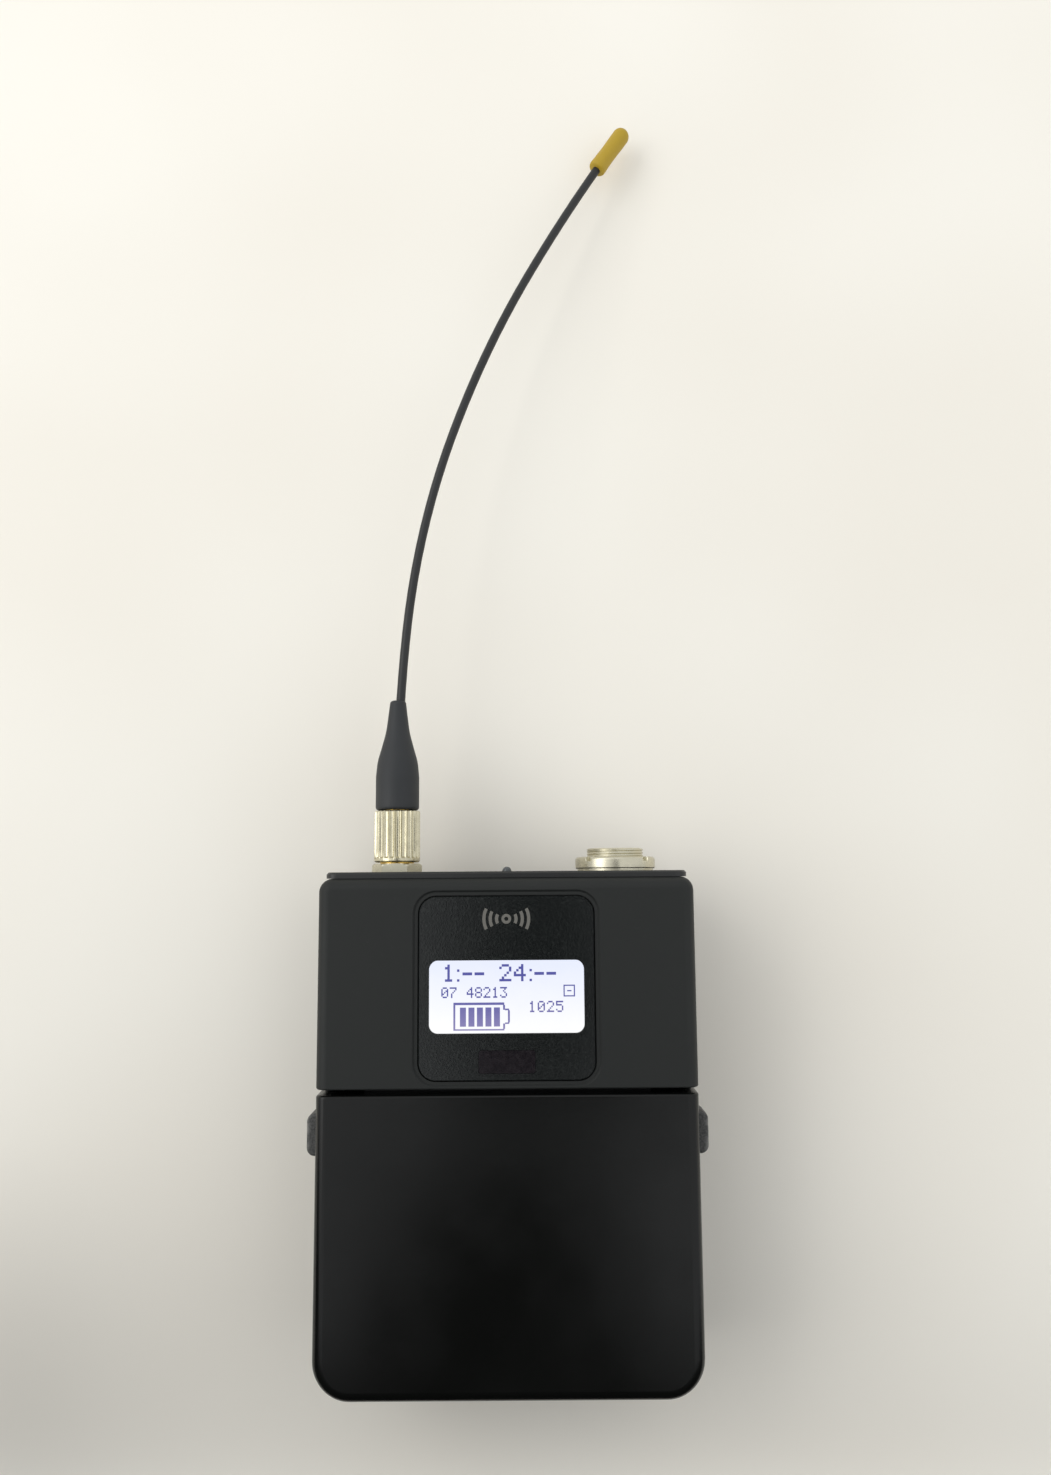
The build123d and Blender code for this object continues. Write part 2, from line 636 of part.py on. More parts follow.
# ---- Top end: end plate, lamp, slide switch ----
plate_z = (back_z + rim_margin, front_z - rim_margin)

with BuildPart() as end_plate:
    add(block((-rim_x, rim_x), (case_top_y, top_end_y), plate_z))
    fillet(end_plate.edges().filter_by(Axis.Y), rim_corner)
    chamfer(end_plate.faces().sort_by(Axis.Y)[-1].edges(), rim_chamfer)
    cut_y = (case_top_y - beyond, top_end_y + beyond)
    add(rod_y(jack_radius + running, antenna_x, cut_y, port_z), mode=Mode.SUBTRACT)
    add(rod_y(socket_hole, socket_x, cut_y, port_z), mode=Mode.SUBTRACT)
    add(rod_y(lamp_radius + running, 0, cut_y, lamp_z), mode=Mode.SUBTRACT)
    add(block((-switch_slot[0], switch_slot[0]), cut_y, slot_z), mode=Mode.SUBTRACT)
save(end_plate.part, "end_plate")

lamp_pipe_long = 6.0
lamp_flange = 1.5
lamp_chip = (1.2, 1.8, 2.2)

with BuildPart() as lamp_pipe:
    lamp_top = top_end_y + sunk
    pipe_low_y = case_top_y - lamp_pipe_long
    add(rod_y(lamp_radius, 0, (pipe_low_y, lamp_top), lamp_z))
    add(Pos(0, lamp_top, lamp_z) * Sphere(lamp_radius, mode=Mode.PRIVATE))
    add(rod_y(lamp_flange, 0, (case_top_y - wall - 1.3, case_top_y - wall - running), lamp_z))
save(lamp_pipe.part, "lamp_pipe")

with BuildPart() as status_lamp:
    chip_y = (pipe_low_y - overlap - lamp_chip[1], pipe_low_y - overlap)
    add(block((-lamp_chip[0], lamp_chip[0]), chip_y, (board_top_z, board_top_z + lamp_chip[2])))
save(status_lamp.part, "status_lamp")

knob_half = 2.2
knob_play = 0.25
knob_round = 0.3
slide_half = 4.6
slide_thick = 1.2
rib_pitch = 1.2
rib_half = 0.2
rib_high = 0.6
rest_x = -switch_travel / 2
with BuildPart() as power_slider:
    knob_x = (rest_x - knob_half, rest_x + knob_half)
    knob_y = (case_top_y - wall - rib_high, top_end_y - knob_play)
    knob_z = (slot_z[0] + knob_play, slot_z[1] - knob_play)
    add(block(knob_x, knob_y, knob_z))
    fillet(power_slider.faces().sort_by(Axis.Y)[-1].edges(), knob_round)
    slide_y = (case_top_y - wall - overlap - slide_thick, case_top_y - wall - overlap)
    slide_z = (knob_z[0] - beyond, knob_z[1] + beyond)
    add(block((rest_x - slide_half, rest_x + slide_half), slide_y, slide_z))
    for rib in range(3):
        rib_x = rest_x + (rib - 1) * rib_pitch
        add(block((rib_x - rib_half, rib_x + rib_half), (top_end_y - rib_high, top_end_y), knob_z))
save(power_slider.part, "power_slider")

switch_half = 5.5
switch_deep = 5.0
with BuildPart() as slide_switch:
    switch_y = (slide_y[0] - overlap - switch_deep, slide_y[0] - overlap)
    add(block((-switch_half, switch_half), switch_y, (switch_z - 3.0, board_z)))
save(slide_switch.part, "slide_switch")

# ---- Antenna jack, nut and the screw-on antenna ----
jack_top_y = collar_low_y + 6.4
neck_radius = 2.5
ferrule_y = jack_top_y + 0.2
flange_high = 0.9
bore_radius = 3.3
thread_pitch = 0.62
thread_deep = 0.14
core_radius = 2.1
contact_radius = 0.75

with BuildPart() as antenna_jack:
    jack_block_x = (antenna_x - jack_block, antenna_x + jack_block)
    jack_block_y = (jack_low_y, case_top_y - wall - running)
    add(block(jack_block_x, jack_block_y, (port_z - jack_block, port_z + jack_block)))
    add(rod_y(jack_radius, antenna_x, (jack_low_y, jack_top_y), port_z))
    add(rod_y(core_radius, antenna_x, (case_top_y, jack_top_y + beyond), port_z), mode=Mode.SUBTRACT)
    for ring in range(9):
        groove_y = jack_top_y - (ring + 0.8) * thread_pitch
        groove = Torus(jack_radius, thread_deep, rotation=(90, 0, 0), mode=Mode.PRIVATE)
        add(Pos(antenna_x, groove_y, port_z) * groove, mode=Mode.SUBTRACT)
save(antenna_jack.part, "antenna_jack")

with BuildPart() as jack_insulator:
    add(rod_y(core_radius - touch, antenna_x, (case_top_y, jack_top_y - overlap), port_z))
    contact_y = (case_top_y + 2 * beyond, jack_top_y + beyond)
    add(rod_y(contact_radius, antenna_x, contact_y, port_z), mode=Mode.SUBTRACT)
save(jack_insulator.part, "jack_insulator")

with BuildPart() as jack_nut:
    with BuildSketch(Plane.XZ.offset(-top_end_y)) as hexagon:
        with Locations((antenna_x, port_z)):
            RegularPolygon(nut_across / 2, 6, major_radius=False)
            Circle(jack_radius + touch, mode=Mode.SUBTRACT)
    extrude(amount=-nut_high)
    chamfer(jack_nut.faces().sort_by(Axis.Y)[-1].outer_wire().edges(), nut_chamfer)
save(jack_nut.part, "jack_nut")

flutes = 24
flute_radius = 0.34
flute_out = 0.05
grip_low = 1.3
collar_chamfer = 0.3
with BuildPart() as antenna_collar:
    add(rod_y(collar_radius, antenna_x, (collar_low_y, collar_high_y), port_z))
    chamfer(antenna_collar.edges().filter_by(GeomType.CIRCLE), collar_chamfer)
    step_y = ferrule_y + flange_high + overlap
    add(rod_y(bore_radius, antenna_x, (collar_low_y - beyond, step_y), port_z), mode=Mode.SUBTRACT)
    neck_y = (step_y, collar_high_y + beyond)
    add(rod_y(neck_radius + running, antenna_x, neck_y, port_z), mode=Mode.SUBTRACT)
    for flute in range(flutes):
        angle = radians(360 * flute / flutes)
        flute_x = antenna_x + (collar_radius + flute_out) * cos(angle)
        flute_z = port_z + (collar_radius + flute_out) * sin(angle)
        flute_y = (collar_low_y + grip_low, collar_high_y + beyond)
        add(rod_y(flute_radius, flute_x, flute_y, flute_z), mode=Mode.SUBTRACT)
save(antenna_collar.part, "antenna_collar")

boot_low_y = collar_high_y + 0.15
boot_bore_y = boot_low_y + 2.0
ferrule_flange = 3.1
centre_pin_radius = 0.64
centre_pin_long = 3.6
with BuildPart() as antenna_ferrule:
    add(rod_y(ferrule_flange, antenna_x, (ferrule_y, ferrule_y + flange_high), port_z))
    add(rod_y(neck_radius, antenna_x, (ferrule_y, boot_bore_y), port_z))
    pin_y = (jack_top_y - centre_pin_long, ferrule_y)
    add(rod_y(centre_pin_radius, antenna_x, pin_y, port_z))
save(antenna_ferrule.part, "antenna_ferrule")

# The whip leaves the boot along +Y and bends in one plane, rolled down about the antenna's axis.
whip_frame = Plane(
    origin=(antenna_x, 0, port_z),
    x_dir=(cos(radians(whip_roll)), 0, -sin(radians(whip_roll))),
    z_dir=(sin(radians(whip_roll)), 0, cos(radians(whip_roll))),
)
bends = ((310.0, 0.0, 5.7), (175.0, 5.7, 19.2), (240.0, 19.2, 28.4), (450.0, 28.4, 33.45))
with BuildPart() as antenna_whip:
    with BuildLine(whip_frame) as whip_line:
        Line((0, boot_bore_y + touch), (0, whip_straight_y))
        x, y = 0.0, whip_straight_y
        for radius, start_angle, end_angle in bends:
            a, b = radians(start_angle), radians(end_angle)
            m = (a + b) / 2
            half = (x + radius * (cos(a) - cos(m)), y + radius * (sin(m) - sin(a)))
            end = (x + radius * (cos(a) - cos(b)), y + radius * (sin(b) - sin(a)))
            ThreePointArc((x, y), half, end)
            x, y = end
    whip_start = Plane(origin=(antenna_x, boot_bore_y + touch, port_z), z_dir=(0, 1, 0))
    with BuildSketch(whip_start):
        Circle(whip_radius)
    sweep(path=whip_line.wires()[0])
save(antenna_whip.part, "antenna_whip")

boot_profile = ((4.03, 0.0), (4.03, 6.4), (3.375, 10.3), (2.55, 13.2), (1.5, 20.4), (1.3, 20.6))
boot_edge_round = 0.5
with BuildPart() as antenna_boot:
    with BuildSketch(Plane.XY.offset(port_z)) as profile:
        with BuildLine():
            points = [(antenna_x + radius, boot_low_y + along) for radius, along in boot_profile]
            Line(points[0], points[1])
            Spline(*points[1:5], tangents=((0, 1), (-0.1, 1)))
            Polyline(points[4], points[5], (antenna_x, points[5][1]), (antenna_x, boot_low_y), points[0])
        make_face()
    revolve(axis=Axis((antenna_x, 0, port_z), (0, 1, 0)))
    fillet(antenna_boot.faces().sort_by(Axis.Y)[0].outer_wire().edges(), boot_edge_round)
    neck = rod_y(neck_radius, antenna_x, (boot_low_y - beyond, boot_bore_y), port_z)
    add(neck, mode=Mode.SUBTRACT)
    add(antenna_whip.part, mode=Mode.SUBTRACT)
save(antenna_boot.part, "antenna_boot")

tip_angle = radians(bends[-1][2])
whip_in_tip = 1.2
with BuildPart() as antenna_tip:
    end_local = Vector(x, y, 0)
    along_local = Vector(sin(tip_angle), cos(tip_angle), 0)
    end_point = whip_frame.from_local_coords(end_local)
    along = whip_frame.from_local_coords(end_local + along_local) - end_point
    cap_start = end_point - along * (tip_length - tip_radius - whip_in_tip)
    with BuildSketch(Plane(origin=cap_start, z_dir=along)):
        Circle(tip_radius)
    extrude(amount=tip_length - tip_radius)
    cap_end = cap_start + along * (tip_length - tip_radius)
    add(Pos(*cap_end) * Sphere(tip_radius, mode=Mode.PRIVATE))
    add(antenna_whip.part, mode=Mode.SUBTRACT)
save(antenna_tip.part, "antenna_tip")

# ---- Input socket on the right of the top end ----
barrel_radius = 5.2
thread_radius = 4.85
barrel_bore = 4.2
barrel_chamfer = 0.2
barrel_base = 1.2
pin_radius = 0.5
ring_chamfer = 0.4
wrench_notch = (1.5, 1.6)
quarters = (45, 135, 225, 315)
barrel_top_y = top_end_y + 4.1
ring_radius = 7.35
ring_y = (top_end_y + 0.45, top_end_y + 2.55)
pin_circle = 2.1

with BuildPart() as socket_barrel:
    add(rod_y(thread_radius, socket_x, (socket_low_y, ring_y[1] + touch), port_z))
    add(rod_y(barrel_radius, socket_x, (ring_y[1] + touch, barrel_top_y), port_z))
    body_y = (socket_low_y, case_top_y - wall - running)
    add(rod_y(socket_body_radius, socket_x, body_y, port_z))
    mouth = socket_barrel.faces().sort_by(Axis.Y)[-1]
    chamfer(mouth.edges(), barrel_chamfer)
    bore_y = (socket_low_y + barrel_base, barrel_top_y + beyond)
    add(rod_y(barrel_bore, socket_x, bore_y, port_z), mode=Mode.SUBTRACT)
save(socket_barrel.part, "socket_barrel")

with BuildPart() as socket_washer:
    add(rod_y(ring_radius - 0.35, socket_x, (top_end_y, ring_y[0]), port_z))
    through_y = (top_end_y - beyond, ring_y[1] + beyond)
    add(rod_y(thread_radius + touch, socket_x, through_y, port_z), mode=Mode.SUBTRACT)
save(socket_washer.part, "socket_washer")

with BuildPart() as socket_nut:
    add(rod_y(ring_radius, socket_x, ring_y, port_z))
    chamfer(socket_nut.edges().filter_by(GeomType.CIRCLE).group_by(Axis.Y)[-1], ring_chamfer)
    add(rod_y(thread_radius + touch, socket_x, through_y, port_z), mode=Mode.SUBTRACT)
    for angle in quarters:
        notch_x = socket_x + ring_radius * cos(radians(angle))
        notch_z = port_z + ring_radius * sin(radians(angle))
        notch_box = Box(wrench_notch[0], wrench_notch[1], wrench_notch[0], mode=Mode.PRIVATE)
        turned_box = Rot(0, -angle, 0) * notch_box
        add(Pos(notch_x, ring_y[1], notch_z) * turned_box, mode=Mode.SUBTRACT)
save(socket_nut.part, "socket_nut")

insert_y = (socket_low_y + barrel_base, top_end_y - 0.6)
pin_spots = [
    (socket_x + pin_circle * cos(radians(angle)), port_z + pin_circle * sin(radians(angle)))
    for angle in quarters
]
with BuildPart() as socket_insert:
    add(rod_y(barrel_bore - touch, socket_x, insert_y, port_z))
    for pin_x, pin_z in pin_spots:
        pin_hole_y = (insert_y[0] + beyond, insert_y[1] + beyond)
        add(rod_y(pin_radius + touch, pin_x, pin_hole_y, pin_z), mode=Mode.SUBTRACT)
save(socket_insert.part, "socket_insert")

with BuildPart() as socket_pins:
    for pin_x, pin_z in pin_spots:
        add(rod_y(pin_radius, pin_x, (insert_y[0] + beyond, barrel_top_y - barrel_base), pin_z))
    chamfer(socket_pins.edges().filter_by(GeomType.CIRCLE).group_by(Axis.Y)[-1], barrel_chamfer)
save(socket_pins.part, "socket_pins")

# ---- Belt clip: a stamped spring strap turning on two studs in the shell's bosses ----
clip_half = 17.2
clip_low_y = -31.0
clip_corner = 7.0
clip_slot = (4.0, -8.0, 10.0)
ear_radius = 2.0
ear_reach = 3.2
curl_half = 9.0
curl_radius = 1.3

with BuildPart() as belt_clip:
    add(plan(0, clip_half, clip_low_y, pivot_y + ear_reach, clip_corner, 1.5))
    extrude(amount=clip_sheet)
    slot_half, slot_low, slot_high = clip_slot
    add(plan(-beyond, slot_half, slot_low, slot_high, slot_half - running, slot_half - running))
    extrude(amount=clip_sheet + 2 * beyond, mode=Mode.SUBTRACT)
    for side in (-1, 1):
        ear_x = mirrored((clip_half - clip_sheet, clip_half), side)
        ear_y = (pivot_y - ear_reach, pivot_y + ear_reach)
        add(block(ear_x, ear_y, (0, pivot_z)))
        add(rod_x(ear_radius, ear_x, pivot_y, pivot_z))
        stud_x = mirrored((pivot_boss_x[0] + overlap, clip_half - running), side)
        add(rod_x(stud_radius, stud_x, pivot_y, pivot_z))
    # The free end curls up to grip the belt.
    curl_y = clip_low_y + curl_radius + overlap
    add(rod_x(curl_radius, (-curl_half, curl_half), curl_y, curl_radius))
save(belt_clip.part, "belt_clip")

head_high = 1.4
drive_radius = 0.75
drive_deep = 0.7
with BuildPart() as case_screws:
    for side in (-1, 1):
        for row in screw_rows:
            at_x = side * screw_x
            add(rod_z(screw_head_radius, at_x, row, (screw_seat_z - head_high, screw_seat_z)))
            shank_z = (screw_seat_z - overlap, roof_z - 2 * post_reach)
            add(rod_z(screw_shank_radius - touch, at_x, row, shank_z))
            drive_z = (screw_seat_z - head_high - beyond, screw_seat_z - head_high + drive_deep)
            add(rod_z(drive_radius, at_x, row, drive_z), mode=Mode.SUBTRACT)
save(case_screws.part, "case_screws")

label_half = 15.0
label_y = (-38.0, -33.0)
label_thick = 0.12
with BuildPart() as rear_label:
    add(block((-label_half, label_half), label_y, (back_z - label_thick, back_z)))
    fillet(rear_label.edges().filter_by(Axis.Z), 1.0)
save(rear_label.part, "rear_label")
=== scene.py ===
# %% [markdown]
# # A bodypack transmitter on a sheet of paper
# The object is a small radio pack that a guitarist wears on a belt. The CAD model is already packed
# as a fixed frame in metres: every case shell, pin and board is in it. This notebook dresses that
# frame. It makes new surfaces where the eye needs more than the CAD gives (threads, flutes, the
# bent whip, coil springs, the marks on the display) and gives every piece a procedural finish.

import math

import bmesh
import bpy
import numpy as np
from mathutils import Matrix, Vector


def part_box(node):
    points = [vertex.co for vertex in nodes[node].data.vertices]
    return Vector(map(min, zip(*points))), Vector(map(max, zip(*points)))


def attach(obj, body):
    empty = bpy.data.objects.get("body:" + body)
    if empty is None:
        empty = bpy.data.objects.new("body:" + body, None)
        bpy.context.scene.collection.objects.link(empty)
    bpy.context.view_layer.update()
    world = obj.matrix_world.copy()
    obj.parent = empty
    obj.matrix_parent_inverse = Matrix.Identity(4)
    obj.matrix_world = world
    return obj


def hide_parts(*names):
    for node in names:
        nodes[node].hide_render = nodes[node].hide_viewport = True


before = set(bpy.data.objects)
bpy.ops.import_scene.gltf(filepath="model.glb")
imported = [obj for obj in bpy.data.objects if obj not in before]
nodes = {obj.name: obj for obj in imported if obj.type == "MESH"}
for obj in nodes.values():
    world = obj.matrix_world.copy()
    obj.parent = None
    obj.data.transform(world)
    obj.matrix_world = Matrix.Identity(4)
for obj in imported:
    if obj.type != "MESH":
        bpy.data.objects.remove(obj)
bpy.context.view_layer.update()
MM = 0.001

# %% [markdown]
# ## Places read from the frame
# Most places are read from the frame: the antenna's axis comes from the collar's box, the socket's
# axis from its barrel, the front face from the front cover, and so on. `span` gives a node's limits
# in mm.

# %% Places


def span(node):
    """The lowest and highest corners of a CAD node, as two numpy arrays in millimetres."""
    low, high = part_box(node)
    return np.array(low) / MM, np.array(high) / MM


def middle(node):
    """The centre of a CAD node's box, in millimetres."""
    low, high = span(node)
    return (low + high) / 2


antenna_x, _, port_z = middle("antenna_collar")
socket_x = middle("socket_barrel")[0]
front_z = span("front_cover")[1][2]
print("antenna axis x, z", round(antenna_x, 2), round(port_z, 2), "front face z", round(front_z, 2))

# %% [markdown]
# ## Surfaces as arrays
# Most turned and moulded pieces are a radius that depends on two parameters: how far along the
# piece, and which way round it. `grid_piece` takes whole arrays of points, in rows and columns, and
# joins them into quads. Its columns close on themselves, as on a bar, and its rows can too, as on a
# ring with a hole. No Python loop runs over vertices.

# %% Grid helper


def grid_piece(name, points, ring=False):
    """Makes a smooth mesh from points[row, column, xyz] in mm. The quad of row i and column j joins
    (i, j), (i, j+1), (i+1, j+1) and (i+1, j). The columns close on themselves. ring closes the rows
    too; without it, each end gets a fan of triangles round its own centre point."""
    rows, columns, _ = points.shape
    vertices = points.reshape(-1, 3)
    down = rows if ring else rows - 1
    i, j = np.meshgrid(np.arange(down), np.arange(columns), indexing="ij")
    below, beside = (i + 1) % rows, (j + 1) % columns
    quads = np.stack(
        [i * columns + j, i * columns + beside, below * columns + beside, below * columns + j], -1
    )
    faces = quads.reshape(-1, 4).tolist()
    if not ring:
        vertices = np.vstack([vertices, points[0].mean(0), points[-1].mean(0)])
        first, last = rows * columns, rows * columns + 1
        j = np.arange(columns)
        beside = (j + 1) % columns
        base = (rows - 1) * columns
        faces += np.stack([beside, j, np.full(columns, first)], 1).tolist()
        faces += np.stack([base + j, base + beside, np.full(columns, last)], 1).tolist()
    return mesh_piece(name, vertices, faces)


def mesh_piece(name, vertices, faces, smooth=True):
    """Makes a mesh object from vertices in mm and faces as lists of indices."""
    mesh = bpy.data.meshes.new(name)
    mesh.from_pydata((np.asarray(vertices) * MM).tolist(), [], faces)
    mesh.update()
    mesh.polygons.foreach_set("use_smooth", np.full(len(mesh.polygons), smooth))
    piece = bpy.data.objects.new(name, mesh)
    bpy.context.scene.collection.objects.link(piece)
    return piece


def sharpen(piece, degrees=35):
    """Keeps edges sharper than an angle crisp, while the rest stays smooth."""
    piece.data.set_sharp_from_angle(angle=math.radians(degrees))
    return piece


# %% [markdown]
# ## Turned pieces, tubes and curves
# `turned` spins a profile about an axis along +Y, which is how the antenna and the sockets point.
# `tube` carries a circle along a path: at each point it takes two directions square to the path.
# `curve_through` rounds a short list of points with a Catmull-Rom spline, for profiles that a
# moulder would draw freely.

# %% Turned pieces and tubes


def curve_through(points, steps=8):
    """A Catmull-Rom spline through 2-D or 3-D points: on each span the four nearest points are
    blended with cubic weights, so the curve passes through every point smoothly."""
    p = np.asarray(points, float)
    p = np.vstack([2 * p[0] - p[1], p, 2 * p[-1] - p[-2]])
    t = np.linspace(0, 1, steps, endpoint=False)[:, None]
    weights = 0.5 * np.stack(
        [-t + 2 * t**2 - t**3, 2 - 5 * t**2 + 3 * t**3, t + 4 * t**2 - 3 * t**3, -(t**2) + t**3], 0
    )
    spans = [sum(w * q for w, q in zip(weights, p[k : k + 4])) for k in range(len(p) - 3)]
    return np.vstack(spans + [p[-2]])


def turned(name, x, z, profile, sides=96, ring=False, shape=None):
    """A piece turned about an axis along +Y through (x, z): profile holds (y, radius) pairs in mm,
    open from end to end, or a closed loop when ring is true. shape, if given, takes the grids
    (angle, y, radius) and gives new grids (y, radius)."""
    y, radius = np.asarray(profile, float).T
    angle = np.linspace(0, 2 * np.pi, sides, endpoint=False)
    turn, along = np.meshgrid(angle, y)
    radii = np.repeat(radius[:, None], sides, 1)
    if shape is not None:
        along, radii = shape(turn, along, radii)
    points = np.stack([x + radii * np.sin(turn), along, z + radii * np.cos(turn)], -1)
    return grid_piece(name, points, ring=ring)


def tube(name, path, radius, beside, sides=20):
    """A round bar along path[n, 3]: each ring stands square to the path, in the plane of two
    vectors made by crossing the path's direction with `beside`. radius is a number or an array."""
    path = np.asarray(path, float)
    ahead = np.gradient(path, axis=0)
    ahead /= np.linalg.norm(ahead, axis=1)[:, None]
    first = np.cross(ahead, np.broadcast_to(beside, path.shape))
    first /= np.linalg.norm(first, axis=1)[:, None]
    second = np.cross(ahead, first)
    angle = np.linspace(0, 2 * np.pi, sides, endpoint=False)[None, :, None]
    around = np.cos(angle) * first[:, None] + np.sin(angle) * second[:, None]
    radii = np.broadcast_to(radius, len(path))[:, None, None]
    return grid_piece(name, path[:, None] + radii * around)


def check_outward(piece):
    """The mesh's signed volume in cubic mm, which is positive when its faces point outwards."""
    mesh = piece.data
    mesh.calc_loop_triangles()
    spots = np.empty(3 * len(mesh.vertices))
    mesh.vertices.foreach_get("co", spots)
    corners = np.empty(3 * len(mesh.loop_triangles), int)
    mesh.loop_triangles.foreach_get("vertices", corners)
    a, b, c = (spots.reshape(-1, 3) / MM)[corners.reshape(-1, 3)].transpose(1, 0, 2)
    volume = float(np.einsum("ij,ij->i", a, np.cross(b, c)).sum() / 6)
    if volume < 0:
        mesh.flip_normals()
    return abs(volume)


def install(piece, body, slot, finish, *stands_for):
    """Gives a new piece its finish, hangs it on its body's empty, hides the nodes it replaces."""
    volume = check_outward(piece)
    piece.data.materials.append(finishes[finish])
    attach(piece, body)
    if stands_for:
        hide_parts(*stands_for)
    print(piece.name, "volume mm3", round(volume, 1), "on", body)
    return piece


print("surface helpers ready")

# %% [markdown]
# ## Shader maths as Python
# A material is a small formula over the surface. `Sock` wraps one node socket, and its operators
# add Math nodes, so `1 - mask * 0.5` reads as it would on paper. `Paint.node` makes any other node.

# %% Shader helper


class Sock:
    """One output socket of a node tree, with arithmetic."""

    def __init__(self, paint, socket):
        self.paint, self.socket = paint, socket

    def _math(self, operation, *values):
        return self.paint.node("ShaderNodeMath", {"operation": operation}, dict(enumerate(values)))

    def __add__(self, other):
        return self._math("ADD", self, other)

    def __rsub__(self, other):
        return self._math("SUBTRACT", other, self)

    def __mul__(self, other):
        return self._math("MULTIPLY", self, other)

    def __gt__(self, other):
        return self._math("GREATER_THAN", self, other)

    def __lt__(self, other):
        return self._math("LESS_THAN", self, other)

    __radd__, __rmul__ = __add__, __mul__

    def clamp(self):
        """The value held between 0 and 1."""
        return self.paint.node("ShaderNodeClamp", {}, {"Value": self})


class Paint:
    """A material being built. node() adds a node from its type, settings and input values."""

    def __init__(self, name):
        self.material = bpy.data.materials.new(name)
        self.material.use_nodes = True
        self.tree = self.material.node_tree
        self.tree.nodes.clear()
        self.shader = self.tree.nodes.new("ShaderNodeBsdfPrincipled")
        output = self.tree.nodes.new("ShaderNodeOutputMaterial")
        self.tree.links.new(self.shader.outputs[0], output.inputs[0])

    @classmethod
    def over(cls, tree):
        """A Paint that works on a node tree that is there already, such as the world's."""
        paint = cls.__new__(cls)
        paint.tree = tree
        return paint

    def node(self, kind, settings, inputs, out=0):
        """Adds one node, sets it up, fills or links its inputs, and gives the output asked for."""
        made = self.tree.nodes.new(kind)
        for key, value in settings.items():
            setattr(made, key, value)
        for key, value in inputs.items():
            self.put(made.inputs[key], value)
        return Sock(self, made.outputs[out])

    def put(self, target, value):
        """Links a Sock, or writes a plain value, into an input socket."""
        if isinstance(value, Sock):
            self.tree.links.new(value.socket, target)
        else:
            target.default_value = value

    def set(self, **values):
        """Fills the Principled shader: base_color=..., roughness=... and so on."""
        for key, value in values.items():
            target = self.shader.inputs[key.replace("_", " ").title()]
            colour = not isinstance(value, (Sock, float, int)) and len(value) == 3
            self.put(target, (*value, 1) if colour else value)

    def place(self, scale=(1, 1, 1), offset=(0, 0, 0)):
        """Object coordinates in millimetres, stretched and moved."""
        spot = self.node("ShaderNodeTexCoord", {}, {}, out=3)
        size = tuple(s / MM for s in scale)
        values = {"Vector": spot, "Location": offset, "Scale": size}
        return self.node("ShaderNodeMapping", {}, values)

    def noise(self, scale, detail=2.0, rough=0.5, where=None):
        """Fractal noise with `scale` features per millimetre, from 0 to 1."""
        spot = where or self.place()
        values = {"Vector": spot, "Scale": scale, "Detail": detail, "Roughness": rough}
        return self.node("ShaderNodeTexNoise", {}, values)

    def spread(self, value, low, high, to_low=0.0, to_high=1.0):
        """Stretches low..high onto to_low..to_high and holds the ends."""
        values = {"Value": value, "From Min": low, "From Max": high}
        values |= {"To Min": to_low, "To Max": to_high}
        return self.node("ShaderNodeMapRange", {}, values)

    def mix(self, factor, first, second):
        """A colour between two colours."""
        made = self.tree.nodes.new("ShaderNodeMix")
        made.data_type = "RGBA"
        for key, value in ((0, factor), (6, first), (7, second)):
            colour = not isinstance(value, Sock) and key > 0
            self.put(made.inputs[key], (*value, 1) if colour else value)
        return Sock(self, made.outputs[2])

    def bump(self, height, strength, distance):
        """A normal from a height, whose full swing is `distance` millimetres."""
        values = {"Height": height, "Strength": strength, "Distance": distance * MM}
        return self.node("ShaderNodeBump", {}, values)


def srgb(red, green, blue):
    """A screen colour, 0 to 255, as the linear colour that shaders use."""
    value = np.array([red, green, blue]) / 255
    linear = np.where(value <= 0.04045, value / 12.92, ((value + 0.055) / 1.055) ** 2.4)
    return tuple(float(v) for v in linear)


finishes = {}
print("shader helper ready")

# %% [markdown]
# ## The case's paint
# The shells are cast and coated with a matte charcoal paint. Close up it has a very fine orange
# peel, and handling leaves it a little smoother in broad patches. The grain is a bump, the patches
# are a slow change of roughness, and the colour hardly moves. The door is a moulding of its own: it
# is blacker than the cover and a shade smoother, so it shows the room softly in its sides.

# %% Coated and moulded finishes


def coated(name, colour, rough, grain=7.0, depth=0.012, dust=0.18, gloss=0.5):
    """Matte paint or moulded plastic: fine grain in the normal, slow patches in the roughness and
    a faint dust in the colour. grain is in features per millimetre, depth in millimetres."""
    paint = Paint(name)
    peel = paint.noise(grain, detail=3.0, rough=0.6)
    patches = paint.noise(0.08, detail=2.0)
    specks = paint.spread(paint.noise(1.6, detail=4.0, rough=0.65), 0.62, 0.8)
    pale = tuple(0.8 * c + 0.03 for c in colour)
    paint.set(
        base_color=paint.mix(specks * dust, colour, pale),
        roughness=paint.spread(patches, 0.35, 0.65, rough - 0.04, rough + 0.04) + peel * 0.03,
        normal=paint.bump(peel, 0.5, depth),
    )
    paint.shader.inputs["Specular IOR Level"].default_value = gloss
    finishes[name] = paint.material


